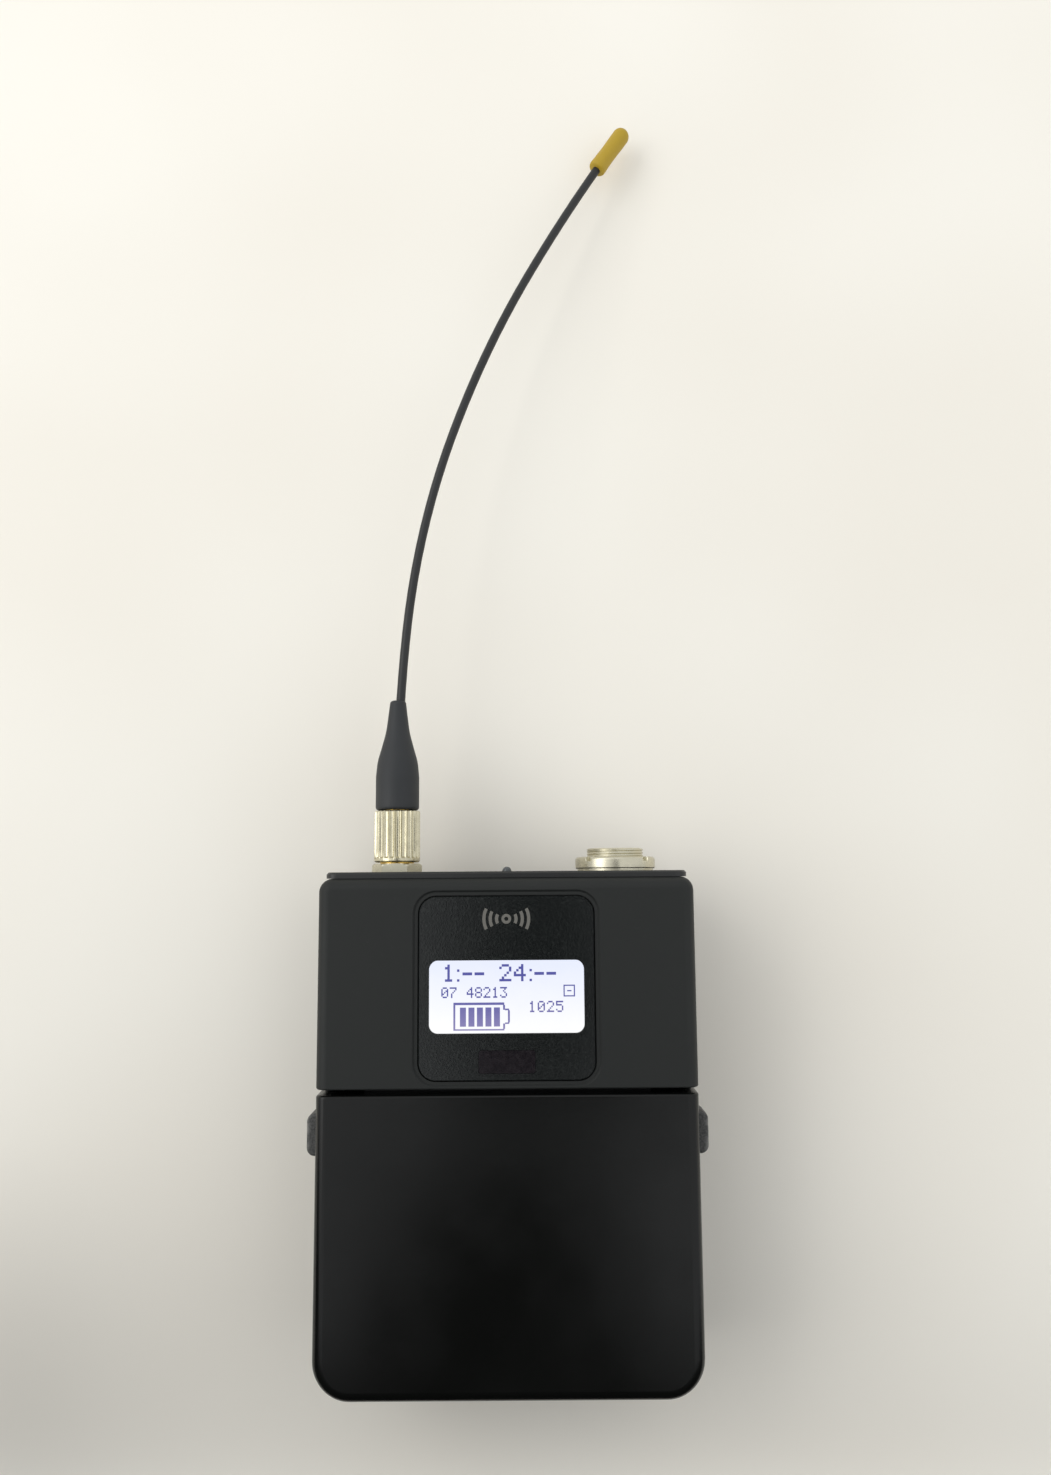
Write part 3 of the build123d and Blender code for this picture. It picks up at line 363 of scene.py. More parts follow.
coated("cover_paint", srgb(33, 35, 34), 0.50, gloss=0.28)
coated("door_paint", srgb(12, 13, 12), 0.2, dust=0.03, gloss=0.28)
coated("shell_paint", srgb(34, 35, 35), 0.48)
coated("end_plastic", srgb(26, 27, 27), 0.34, grain=4.0, depth=0.006)
coated("inner_plastic", srgb(30, 31, 32), 0.52, grain=5.0, depth=0.02)
coated("switch_plastic", srgb(22, 22, 23), 0.42, grain=5.0, depth=0.01)
coated("button_rubber", srgb(58, 60, 62), 0.62, grain=4.0, depth=0.02)
coated("black_insert", srgb(20, 20, 21), 0.45, grain=6.0, depth=0.01)
coated("white_insulator", srgb(226, 224, 214), 0.42, grain=6.0, depth=0.008, dust=0.3)
coated("boot_rubber", srgb(44, 46, 48), 0.55, grain=3.2, depth=0.03, dust=0.12, gloss=0.4)
coated("whip_jacket", srgb(30, 31, 32), 0.45, grain=2.4, depth=0.02, dust=0.1)
coated("print_grey", srgb(104, 102, 96), 0.5, grain=5.0, depth=0.01)
coated("tip_cap", srgb(178, 148, 36), 0.50, grain=1.4, depth=0.05, dust=0.35, gloss=0.4)
print("coated finishes", len(finishes))

# %% [markdown]
# ## Metals
# Nickel, gold and bare steel differ in colour, in roughness, and in how they were made. Turned
# parts carry fine rings across their axis; sheet has rolling lines along it. Both are one noise
# stretched a long way in one direction, used as a faint bump and as a change of roughness. A second
# slow noise dulls patches, as fingers and years do.

# %% Metal finishes


def metal(name, colour, rough, stretch=(1, 9, 1), tarnish=0.15, depth=0.004):
    """Bare or plated metal: a noise stretched by `stretch` features per mm gives the tool lines."""
    paint = Paint(name)
    lines = paint.noise(1.0, detail=3.0, rough=0.6, where=paint.place(stretch))
    dull = paint.spread(paint.noise(0.5, detail=4.0, rough=0.6), 0.4, 0.75)
    dark = tuple(c * 0.55 for c in colour)
    paint.set(
        base_color=paint.mix(dull * tarnish, colour, dark),
        metallic=1.0,
        roughness=rough + paint.spread(lines, 0.3, 0.7, -0.05, 0.07) + dull * 0.1,
        normal=paint.bump(lines, 0.35, depth),
    )
    finishes[name] = paint.material


metal("nickel", srgb(208, 203, 182), 0.26)
metal("collar_nickel", srgb(212, 205, 178), 0.24, tarnish=0.35)
metal("gold", srgb(226, 186, 96), 0.22, tarnish=0.25)
metal("steel", srgb(176, 177, 178), 0.30, stretch=(9, 1, 1))
metal("spring_steel", srgb(150, 152, 156), 0.28, stretch=(3, 3, 3))
metal("contact_metal", srgb(206, 200, 184), 0.24, stretch=(1, 8, 1))
metal("clip_steel", srgb(60, 60, 62), 0.38, stretch=(7, 0.4, 7), tarnish=0.3, depth=0.008)
metal("screw_steel", srgb(74, 74, 76), 0.34, stretch=(5, 5, 5))
metal("shield_tin", srgb(190, 192, 194), 0.34, stretch=(0.5, 6, 0.5), tarnish=0.3)
print("finishes", len(finishes))

# %% [markdown]
# ## The screen panel
# Round the display sits a polycarbonate panel with a leather-like grain on its back printing. The
# grain is coarser than the paint's. A Voronoi pattern gives the rounded islands, noise roughens
# them, and a low roughness lets each island catch its own small highlight. The infrared window is a
# plain dark red-black plastic.

# %% Panel, infrared window and display finishes


def panel_finish():
    """Dark green-black panel with raised leather grain; its tops are painted paler grey as a
    highlight.
    """
    paint = Paint("panel_grain")
    spots = {"Vector": paint.place(), "Scale": 2.6, "Randomness": 1.0}
    islands = paint.node("ShaderNodeTexVoronoi", {"feature": "F1"}, spots)
    fine = paint.noise(6.5, detail=3.0, rough=0.65)
    height = islands * 0.6 + fine
    # Painted highlight: the grain's raised tops get a paler grey, standing in for the glints they
    # catch.
    grain_top_highlight = paint.spread(height, 0.86, 1.05)
    paint.set(
        base_color=paint.mix(grain_top_highlight * 0.5, srgb(10, 14, 14), srgb(40, 44, 42)),
        roughness=paint.spread(fine, 0.3, 0.7, 0.13, 0.24),
        normal=paint.bump(height, 0.3, 0.05),
    )
    paint.shader.inputs["Specular IOR Level"].default_value = 0.5
    finishes["panel_grain"] = paint.material


def infrared_finish():
    """Smooth plastic that looks almost black, with a trace of red, and fine moulding haze."""
    paint = Paint("infrared_plastic")
    haze = paint.noise(1.1, detail=3.0)
    paint.set(
        base_color=paint.mix(haze, srgb(16, 15, 19), srgb(28, 20, 26)),
        roughness=paint.spread(haze, 0.3, 0.7, 0.16, 0.24),
        normal=paint.bump(paint.noise(3.0), 0.2, 0.004),
    )
    finishes["infrared_plastic"] = paint.material


def display_finish(name, bright, dim, low, high):
    """A back-lit surface: its light runs from bright to dim up the window, between two heights in
    mm above the window's middle, and noise makes it a little uneven."""
    paint = Paint(name)
    middle_y = float(middle("display_window")[1])
    height = paint.node("ShaderNodeSeparateXYZ", {}, {0: paint.place()}, out=1)
    blend = paint.spread(height, middle_y + low, middle_y + high) + paint.noise(0.35) * 0.2
    glow = paint.mix(blend.clamp(), bright, dim)
    smooth = paint.spread(paint.noise(2.0), 0.3, 0.7, 0.16, 0.26)
    paint.set(base_color=(0.01, 0.01, 0.012), emission_color=glow, roughness=smooth)
    paint.shader.inputs["Emission Strength"].default_value = 1.0
    finishes[name] = paint.material


panel_finish()
infrared_finish()
display_finish("display_glow", srgb(255, 255, 255), srgb(233, 238, 255), -5.0, 6.5)
display_finish("display_marks", srgb(150, 142, 186), srgb(84, 86, 160), -6.5, 1.0)
print("panel, infrared and display finishes ready")

# %% [markdown]
# ## Inside the case
# The board is green solder mask over faint traces. The cells wear a printed plastic sleeve: a
# dark body with a coloured band at each end, drawn from the distance to the middle plane. The
# door's pad is black foam with open pores, which a Voronoi pattern gives as small pits; their
# darker centres are painted shade.

# %% Inside finishes


def board_finish():
    """Green board: square-edged traces from two crossed noises, lighter where copper runs below."""
    paint = Paint("board_green")
    run_x = paint.noise(1.0, detail=1.0, where=paint.place((0.25, 2.2, 1)))
    run_y = paint.noise(1.0, detail=1.0, where=paint.place((2.2, 0.25, 1), (7, 3, 0)))
    traces = ((run_x > 0.55) + (run_y > 0.58)).clamp()
    paint.set(
        base_color=paint.mix(traces, srgb(12, 62, 38), srgb(26, 96, 56)),
        roughness=paint.spread(paint.noise(1.5), 0.3, 0.7, 0.28, 0.38),
        normal=paint.bump(traces, 0.4, 0.03),
    )
    finishes["board_green"] = paint.material


def foam_finish():
    """Black foam: pits where a Voronoi cell's centre is near, painted darker as shade, matte all
    over.
    """
    paint = Paint("foam")
    values = {"Vector": paint.place(), "Scale": 1.6}
    pits_and_pit_shade = paint.node("ShaderNodeTexVoronoi", {"feature": "F1"}, values)
    paint.set(
        # Painted shade: the colour is darkest at the pits' centres, where the bump is lowest.
        base_color=paint.mix(pits_and_pit_shade, srgb(18, 18, 18), srgb(48, 48, 50)),
        roughness=0.88 + paint.noise(3.0) * 0.1,
        normal=paint.bump(pits_and_pit_shade, 0.7, 0.25),
    )
    finishes["foam"] = paint.material


def sleeve_finish():
    """Cell sleeve: a copper-coloured band near each end of the cell, dark between, satin film."""
    paint = Paint("cell_sleeve")
    along = paint.node("ShaderNodeSeparateXYZ", {}, {0: paint.place()}, out=0)
    reach = paint.node("ShaderNodeMath", {"operation": "ABSOLUTE"}, {0: along})
    band = paint.spread(reach, 12.2, 12.4)
    scuff = paint.noise(2.0, detail=4.0)
    paint.set(
        base_color=paint.mix(band, srgb(24, 25, 28), srgb(176, 112, 62)),
        metallic=band * 0.6,
        roughness=paint.spread(scuff, 0.3, 0.7, 0.24, 0.36),
        normal=paint.bump(paint.noise(0.6), 0.2, 0.05),
    )
    finishes["cell_sleeve"] = paint.material


def ribbon_finish():
    """Amber flat cable with parallel copper lines showing through."""
    paint = Paint("ribbon_film")
    across = paint.node("ShaderNodeSeparateXYZ", {}, {0: paint.place()}, out=0)
    lines = paint.node("ShaderNodeMath", {"operation": "SINE"}, {0: across * 12.6})
    paint.set(
        base_color=paint.mix(lines > 0, srgb(150, 84, 22), srgb(196, 120, 44)),
        roughness=0.3 + paint.noise(2.0) * 0.08,
        normal=paint.bump(lines, 0.3, 0.01),
    )
    finishes["ribbon_film"] = paint.material


def label_finish():
    """Silver rating label: plain grey bars stand where print would be, and carry no words."""
    paint = Paint("label_film")
    spot = paint.place()
    across = paint.node("ShaderNodeSeparateXYZ", {}, {0: spot}, out=0)
    up = paint.node("ShaderNodeSeparateXYZ", {}, {0: spot}, out=1)
    row = paint.node("ShaderNodeMath", {"operation": "FRACT"}, {0: up * 0.8})
    inside = paint.node("ShaderNodeMath", {"operation": "ABSOLUTE"}, {0: across})
    bars = (row > 0.35) * (row < 0.7) * (inside < 12.5)
    paint.set(
        base_color=paint.mix(bars, srgb(168, 170, 172), srgb(60, 62, 64)),
        metallic=0.3,
        roughness=0.34 + paint.noise(4.0) * 0.08,
        normal=paint.bump(paint.noise(3.0), 0.2, 0.005),
    )
    finishes["label_film"] = paint.material


def lamp_finish():
    """Smoked clear plastic for the light pipe: dark, with a milky heart."""
    paint = Paint("lamp_plastic")
    milk = paint.noise(0.9, detail=2.0)
    paint.set(
        base_color=paint.mix(milk, srgb(54, 58, 60), srgb(96, 100, 102)),
        roughness=0.12 + milk * 0.08,
        normal=paint.bump(paint.noise(2.0), 0.15, 0.004),
    )
    finishes["lamp_plastic"] = paint.material


board_finish()
foam_finish()
sleeve_finish()
ribbon_finish()
label_finish()
lamp_finish()
print("finishes", len(finishes))

# %% [markdown]
# ## The latch tabs' finish
# The two tabs are a soft grey plastic with a spark-eroded face, with painted shade in the low
# places of its grain, and rubbed shiny on the outer corners by thumbs. The rub is a mask from the
# distance to the tab's outer face: its lower roughness is real wear, and its paler grey is a
# painted highlight.

# %% Latch tab finish


def tab_finish():
    """Grey plastic: coarse bump, painted shade in the grain's lows, rubbed corners painted paler.
    """
    paint = Paint("tab_plastic")
    outer = float(span("latch_tab_right")[1][0])
    across = paint.node("ShaderNodeSeparateXYZ", {}, {0: paint.place()}, out=0)
    reach = paint.node("ShaderNodeMath", {"operation": "ABSOLUTE"}, {0: across})
    pits_and_pit_shade = paint.noise(3.0, detail=4.0, rough=0.65)
    edge = paint.spread(reach, outer - 0.9, outer)
    wear_and_highlight = edge * paint.spread(paint.noise(0.7, detail=3.0), 0.45, 0.6)
    # Painted shade: the grain's low places get the darker grey.
    grey = paint.mix(paint.spread(pits_and_pit_shade, 0.35, 0.65), srgb(40, 41, 41), srgb(86, 86, 84))
    paint.set(
        # The rub's paler grey is a painted highlight; its lower roughness is real wear.
        base_color=paint.mix(wear_and_highlight * 0.6, grey, srgb(128, 128, 124)),
        roughness=0.52 - wear_and_highlight * 0.2 + pits_and_pit_shade * 0.06,
        normal=paint.bump(pits_and_pit_shade, 0.6, 0.05),
    )
    finishes["tab_plastic"] = paint.material


tab_finish()
print("tab finish ready")

# %% [markdown]
# ## The whip
# The antenna is a springy wire in a thin black jacket. It leaves its boot straight and bends over
# to the right, tightest in the lower half of its free length, because the wire was once rolled up.
# Four arcs follow each other in one plane, each with its own radius, and the plane is rolled a
# little towards the table. The jacket is a tube along them.

# %% Whip path
whip_roll = math.radians(16.0)
whip_straight_y = 59.4
whip_bends = ((310.0, 0.0, 5.7), (175.0, 5.7, 19.2), (240.0, 19.2, 28.4), (450.0, 28.4, 33.45))
whip_low = span("antenna_whip")[0]
sideways = np.array([math.cos(whip_roll), 0.0, -math.sin(whip_roll)])
out_of_plane = np.array([math.sin(whip_roll), 0.0, math.cos(whip_roll)])
foot = np.array([antenna_x, 0.0, port_z])


def bent_line(start_y, bend_y, bends, step=1.2):
    """Points (aside, along) of a line that runs straight to bend_y and then round arcs given as
    (radius, first angle a, last angle). Each adds radius * (cos a - cos t) aside and
    radius * (sin t - sin a) along."""
    aside = [np.zeros(12)]
    along = [np.linspace(start_y, bend_y, 12)]
    for radius, first, last in bends:
        a, b = math.radians(first), math.radians(last)
        t = np.linspace(a, b, int(radius * (b - a) / step) + 3)[1:]
        aside.append(aside[-1][-1] + radius * (np.cos(a) - np.cos(t)))
        along.append(along[-1][-1] + radius * (np.sin(t) - np.sin(a)))
    return np.concatenate(aside), np.concatenate(along)


aside, along = bent_line(whip_low[1], whip_straight_y, whip_bends)
whip_path = foot + aside[:, None] * sideways + along[:, None] * np.array([0.0, 1.0, 0.0])
whip_end = whip_path[-1]
whip_ahead = whip_path[-1] - whip_path[-2]
whip_ahead /= np.linalg.norm(whip_ahead)
whip_radius, ripple = 0.84, 0.008
jacket = whip_radius + ripple * np.sin(np.arange(len(whip_path)) * 1.7)
whip = tube("whip_jacket", whip_path, jacket, out_of_plane, sides=28)
install(whip, "collar", "whip", "whip_jacket", "antenna_whip")

# %% [markdown]
# ## The tip and the boot
# A dipped yellow cap ends the whip, so that it doesn't poke anyone: it is a tube whose radius
# follows a rounded end and a slightly swollen lip. The boot at the foot is moulded rubber, turned
# from a free curve: straight where it grips the ferrule, then drawn in to the wire.

# %% Tip and boot
tip_long, tip_radius = 12.0, 1.8
inside_tip = 9.0
dome_from = tip_long - tip_radius
dome = dome_from + tip_radius * np.sin(np.linspace(0.05, 1.53, 14))
t = np.concatenate([np.linspace(0, 0.5, 6), np.linspace(0.6, dome_from - 0.1, 14), dome])
body = np.sqrt(np.maximum(1 - (np.maximum(t - dome_from, 0) / tip_radius) ** 2, 0.0004))
lip = 1 - 0.22 * np.exp(-t / 0.16) + 0.035 * np.exp(-(((t - 0.9) / 0.5) ** 2))
waver = 1 - 0.02 * (1 - np.cos(t * 0.62))
tip_path = whip_end + (t - inside_tip)[:, None] * whip_ahead
tip = tube("tip_dip", tip_path, tip_radius * body * lip * waver, out_of_plane, sides=40)
install(tip, "collar", "tip_cap", "tip_cap", "antenna_tip")

# Boot outlines are (height above the boot's foot, radius).
boot_foot = span("antenna_boot")[0][1]
foot_round = [(0.55 * (1 - math.cos(a)), 3.5 + 0.53 * math.sin(a)) for a in np.linspace(0, 1.57, 6)]
sleeve = [(1.2, 4.03), (3.6, 4.035), (5.4, 4.035)]
shrink = [(6.2, 4.03), (9.0, 3.72), (11.6, 3.02), (14.6, 2.24), (17.6, 1.82), (20.2, 1.5)]
top_round = [(20.45, 1.36), (20.58, 1.12), (20.6, 0.8)]
outline = [*foot_round, *sleeve, *curve_through(shrink), *top_round]
boot_profile = [(boot_foot + height, radius) for height, radius in outline]
boot = turned("boot_rubber", antenna_x, port_z, boot_profile, sides=72)
install(sharpen(boot, 50), "collar", "boot_rubber", "boot_rubber", "antenna_boot")

# %% [markdown]
# ## The collar, its nut and their threads
# The collar is turned brass, nickel plated, with straight flutes for the fingers. Each flute is a
# dip in the radius that repeats round the axis: one minus a power of a cosine keeps the crests
# narrow and bright. The nut below is a hexagon, whose distance from the axis is its half width
# over the cosine of the angle from the nearest flat, cut by a cone at the top.

# %% Collar and nut
flutes = 24
flute_deep = 0.36
collar_low, collar_high = span("antenna_collar")
low_y, high_y = collar_low[1], collar_high[1]
collar_radius = (collar_high[0] - collar_low[0]) / 2
bore, neck = 3.3, 2.62
step_y = low_y + 7.7


def fluted(turn, along, radii):
    """Radius less flute_deep * (1 - crest^3), where crest = (1 + cos(flutes * angle)) / 2, on the
    outside only and above the plain foot ring."""
    crest = 0.5 + 0.5 * np.cos(flutes * turn)
    grip = np.clip((along - low_y - 0.75) / 0.3, 0, 1) * (radii > bore + 0.4)
    return along, radii - flute_deep * (1 - crest**3) * grip


outside = [(low_y, collar_radius - 0.35), (low_y + 0.3, collar_radius)]
outside += [(low_y + 0.75, collar_radius)]
outside += [(y, collar_radius) for y in np.linspace(low_y + 1.05, high_y - 0.35, 8)]
outside += [(high_y - 0.12, collar_radius - 0.1), (high_y, collar_radius - 0.32)]
inside = [(high_y, neck), (step_y, neck), (step_y, bore), (low_y, bore)]
loop, sides = outside + inside, flutes * 16
collar = turned("collar_flutes", antenna_x, port_z, loop, sides, ring=True, shape=fluted)
install(sharpen(collar, 40), "collar", "nickel", "collar_nickel", "antenna_collar")

nut_low, nut_high = span("jack_nut")
half_flat = (nut_high[2] - nut_low[2]) / 2
nut_y = (nut_low[1], nut_high[1])
chamfer_out, chamfer_slope = 0.12, 1.73


def hexagonal(turn, along, radii):
    """Outside rows take half_flat / cos(angle from the nearest flat), and the top is cut by a cone
    of 30 degrees that leaves the flats whole."""
    from_flat = np.mod(turn + np.pi / 6, np.pi / 3) - np.pi / 6
    flat = half_flat / np.cos(from_flat)
    cone = half_flat + chamfer_out + (nut_y[1] - along) * chamfer_slope
    return along, np.where(radii > bore, np.minimum(flat, cone), radii)


rise = np.linspace(nut_y[0], nut_y[1], 9)
nut_bore = 3.12
loop = [(y, half_flat) for y in rise] + [(nut_y[1], nut_bore), (nut_y[0], nut_bore)]
nut = turned("jack_hexagon", antenna_x, port_z, loop, sides=180, ring=True, shape=hexagonal)
install(sharpen(nut, 28), "case", "nickel", "nickel", "jack_nut")

# %% [markdown]
# ## The input socket
# A four-pin locking socket stands at the right of the top end. Its barrel is a threaded cup: the
# thread is a cosine of the height over the pitch, less the angle, so it climbs one pitch each turn.
# The ring nut that holds it has a rounded shoulder and four notches for a pin wrench.

# %% Socket barrel and ring nut
barrel_low, barrel_high = span("socket_barrel")
ring_low, ring_high = span("socket_nut")
pitch, thread_deep = 0.5, 0.14
thread_y = (ring_high[1] - 0.1, barrel_high[1] - 0.25)


def threaded(turn, along, radii):
    """Radius less thread_deep * (1 - cos(2 pi y / pitch - angle)) / 2, on the outside between the
    two heights of thread_y."""
    ridge = 0.5 - 0.5 * np.cos(2 * np.pi * along / pitch - turn)
    where = (along > thread_y[0]) & (along < thread_y[1]) & (radii > 5.0)
    return along, radii - thread_deep * ridge * where


thin, wide, socket_bore = 4.85, 5.2, 4.2
flange_y, flange_radius = 41.75, 6.4
cup = [(barrel_low[1], flange_radius), (flange_y, flange_radius)]
cup += [(flange_y + 0.05, thin), (thread_y[0], thin)]
cup += [(y, wide) for y in np.linspace(thread_y[0] + 0.02, thread_y[1], 26)]
cup += [(barrel_high[1] - 0.2, wide), (barrel_high[1], wide - 0.2), (barrel_high[1], 4.35)]
cup += [(barrel_high[1] - 0.15, socket_bore), (barrel_low[1] + 1.2, socket_bore)]
barrel = turned("socket_cup", socket_x, port_z, cup, sides=160, shape=threaded)
install(sharpen(barrel, 40), "case", "nickel", "nickel", "socket_barrel")

ring_y = (ring_low[1], ring_high[1])
ring_radius, ring_bore = 7.35, 4.87
shoulder = 0.55
notch_half, notch_deep = 0.75, 0.8


def notched(turn, along, radii):
    """Lowers the outer rim's top by notch_deep within notch_half of each of four directions."""
    from_notch = np.mod(turn, np.pi / 2) - np.pi / 4
    inside_notch = (np.abs(np.sin(from_notch)) * radii < notch_half) & (radii > 6.6)
    return np.where(inside_notch, np.minimum(along, ring_y[1] - notch_deep), along), radii


corner = [
    (ring_y[1] - shoulder * (1 - math.sin(a)), ring_radius - shoulder * (1 - math.cos(a)))
    for a in np.linspace(0, math.pi / 2, 9)
]
loop = [(ring_y[0], ring_bore), (ring_y[0], 7.2), (ring_y[0] + 0.15, ring_radius), *corner]
loop += [(ring_y[1], 6.62), (ring_y[1], 6.58), (ring_y[1], 5.05), (ring_y[1] - 0.15, ring_bore)]
ring_nut = turned("socket_ring", socket_x, port_z, loop, sides=240, ring=True, shape=notched)
install(sharpen(ring_nut, 38), "case", "nickel", "nickel", "socket_nut")

# %% [markdown]
# ## Battery cells and their coil contacts
# Each cell is a steel can in a shrunk sleeve: the profile has the rolled shoulder at both ends and
# the raised button at one. The coil that presses on the flat end is a wire wound on a cone: its
# angle grows steadily, its radius shrinks and its height rises, with the end turns lying flat.

# %% Cells and coils


def along_x(piece, y, z):
    """Turns the points of a piece made about the +Y axis through the origin, so that its axis runs
    along +X through (y, z): (a, b, c) becomes (b, y + a, z + c)."""
    mesh = piece.data
    spots = np.empty(3 * len(mesh.vertices))
    mesh.vertices.foreach_get("co", spots)
    a, b, c = spots.reshape(-1, 3).T
    mesh.vertices.foreach_set("co", np.stack([b, a + y * MM, c + z * MM], -1).ravel())
    mesh.update()
    return piece


for word in ("lower", "upper"):
    cell_low, cell_high = span(f"aa_cell_{word}")
    coil_low, coil_high = span(f"coil_contact_{word}")
    toward = 1 if coil_low[0] < cell_low[0] else -1
    _, cy, cz = (cell_low + cell_high) / 2
    flat, button = (cell_low[0], cell_high[0]) if toward > 0 else (cell_high[0], cell_low[0])
    shape = [(0.0, 5.2), (0.05, 5.9), (0.2, 6.2), (0.25, 6.75), (0.55, 7.0), (1.0, 7.1)]
    shape += [(12.0, 7.1), (30.0, 7.1), (48.3, 7.1), (48.8, 7.0), (49.1, 6.7), (49.2, 6.1)]
    shape += [(49.0, 5.6), (49.05, 3.0), (49.3, 2.7), (50.2, 2.7), (50.45, 2.55), (50.5, 2.2)]
    profile = [(flat + toward * y, r) for y, r in shape]
    cell = along_x(turned(f"cell_{word}", 0, 0, profile, sides=72), cy, cz)
    install(sharpen(cell, 45), "case", "cell_wrap", "cell_sleeve", f"aa_cell_{word}")

    wire = 0.3
    turns = 3.2
    share = np.linspace(0, 1, 180)
    eased = share - np.sin(2 * np.pi * share) * 0.11
    angle = share * turns * 2 * np.pi
    radius = 3.55 - 1.2 * share
    x = coil_low[0] + wire + (coil_high[0] - coil_low[0] - 2 * wire) * eased
    if toward < 0:
        x = coil_high[0] + coil_low[0] - x
    path = np.stack([x, cy + radius * np.cos(angle), cz + radius * np.sin(angle)], -1)
    coil = tube(f"coil_{word}", path, wire, (1.0, 0.02, 0.03), sides=12)
    install(coil, "case", "spring_steel", "spring_steel", f"coil_contact_{word}")

# %% [markdown]
# ## The belt clip
# The clip is stamped from spring steel and its edges are tumbled round before it is blackened. Its
# outline is already right, so a copy of the frame's mesh is merged, its flat triangles are joined
# into whole faces, and a Bevel modifier rounds every sharp edge by a quarter of a millimetre.

# %% Belt clip


def tumbled(node, name, width, degrees=40):
    """A copy of a CAD node with doubles merged, flat faces joined and edges bevelled."""
    mesh = nodes[node].data.copy()
    mesh.name = name
    work = bmesh.new()
    work.from_mesh(mesh)
    bmesh.ops.remove_doubles(work, verts=work.verts, dist=1e-6)
    nearly_flat = math.radians(1.0)
    bmesh.ops.dissolve_limit(work, angle_limit=nearly_flat, verts=work.verts, edges=work.edges)
    work.to_mesh(mesh)
    work.free()
    mesh.materials.clear()
    piece = bpy.data.objects.new(name, mesh)
    bpy.context.scene.collection.objects.link(piece)
    bevel = piece.modifiers.new("tumble", "BEVEL")
    bevel.width = width * MM
    bevel.segments = 3
    bevel.limit_method = "ANGLE"
    bevel.angle_limit = math.radians(degrees)
    mesh.polygons.foreach_set("use_smooth", np.ones(len(mesh.polygons), bool))
    return sharpen(piece, 50)


clip = tumbled("belt_clip", "clip_strap", 0.25)
install(clip, "clip", "clip_steel", "clip_steel", "belt_clip")

# %% [markdown]
# ## What the display shows
# The display is 128 dots wide and nearly 59 high. Its picture is generic: channel digits with empty
# dashes, a row of small digits, a boxed sign, a full battery and a power figure. Digits come from a
# five by seven dot font. Each run of dark dots is a thin block that stands a hair above the
# window, so the marks are real shapes and stay sharp from any side.

# %% Display marks
window_low, window_high = span("display_window")
dots = 128
dot = (window_high[0] - window_low[0]) / dots
digit_rows = {
    "0": (14, 17, 19, 21, 25, 17, 14),
    "1": (4, 12, 4, 4, 4, 4, 14),
    "2": (14, 17, 1, 2, 4, 8, 31),
    "3": (31, 2, 4, 2, 1, 17, 14),
    "4": (2, 6, 10, 18, 31, 2, 2),
    "5": (31, 16, 30, 1, 1, 17, 14),
    "7": (31, 1, 2, 4, 8, 8, 8),
    "8": (14, 17, 17, 14, 17, 17, 14),
    ":": (0, 0, 4, 0, 0, 0, 4),
}


def digits(text, column, row, wide, high, gap=1.0):
    """Boxes (column, row, columns, rows) for a line of digits: every dot of the font that is lit
    becomes one box of wide x high display dots, and lit neighbours in a row are run together."""
    boxes = []
    for k, sign in enumerate(text):
        for line, bits in enumerate(digit_rows[sign]):
            runs = f"{bits:05b}".replace("0", " ")
            start = 0
            for run in runs.split(" "):
                if run:
                    at = column + (k * (5 + gap) + start) * wide
                    boxes.append((at, row + line * high, len(run) * wide, high))
                start += len(run) + 1
    return boxes


def blocks(name, boxes, low, high):
    """Thin closed blocks in one mesh, from (column, row, columns, rows) boxes in display dots."""
    box = np.array(boxes, float)
    left = window_low[0] + box[:, 0] * dot
    top = window_high[1] - box[:, 1] * dot
    right, bottom = left + box[:, 2] * dot, top - box[:, 3] * dot
    x = np.stack([left, right, right, left], 1)
    y = np.stack([bottom, bottom, top, top], 1)
    ring = np.stack([x, y], -1)
    floor_ring = np.concatenate([ring, np.full((*ring.shape[:2], 1), low)], -1)
    roof_ring = np.concatenate([ring, np.full((*ring.shape[:2], 1), high)], -1)
    vertices = np.concatenate([floor_ring, roof_ring], 1).reshape(-1, 3)
    faces = [(3, 2, 1, 0), (4, 5, 6, 7), (0, 1, 5, 4), (1, 2, 6, 5), (2, 3, 7, 6), (3, 0, 4, 7)]
    offsets = 8 * np.arange(len(box))[:, None, None]
    quads = (offsets + np.array(faces)).reshape(-1, 4).tolist()
    return mesh_piece(name, vertices, quads, smooth=False)


big = digits("1", 11, 3, 2, 2) + digits(":", 19, 3, 2, 2) + digits("24", 58, 3, 2, 2)
big += digits(":", 79, 3, 2, 2)
big += [(27.5, 9.5, 8, 2.4), (37.5, 9.5, 8, 2.4), (87, 9.5, 8, 2.4), (97, 9.5, 8, 2.4)]
small = digits("07", 10, 21.5, 1.15, 1.25) + digits("48213", 31, 21.5, 1.15, 1.25)
small += digits("1025", 82, 33, 1.2, 1.3, gap=1.3)
frame_box = [(111, 20, 9.5, 1), (111, 28.6, 9.5, 1), (111, 21, 1, 7.6), (119.5, 21, 1, 7.6)]
frame_box += [(114, 24.4, 3.6, 1)]
cell_box = [(20, 34, 42, 2), (20, 55.4, 42, 1.2), (20, 36, 1.6, 19.4), (61, 36, 1.6, 4)]
cell_box += [(61, 51, 1.6, 4.4), (62.6, 39, 3.4, 1.4), (65, 40.4, 1.6, 9.8), (62.6, 50.2, 3.4, 1.2)]
bars = [(25.4 + 7 * k, 38, 5, 15.4) for k in range(5)]
boxes = big + small + frame_box + cell_box + bars
mark_thick = 0.04
glass_z = window_high[2]
marks = blocks("display_marks", boxes, glass_z - mark_thick / 2, glass_z + mark_thick / 2)
install(marks, "case", "display", "display_marks")

# %% [markdown]
# ## A wave mark on the panel
# Above the display the real panel is printed. A plain mark stands there instead: a ring with
# three arcs on each side, as any radio might carry. Each arc is a flat strip: four corners carried
# round part of a circle.

# %% Panel mark


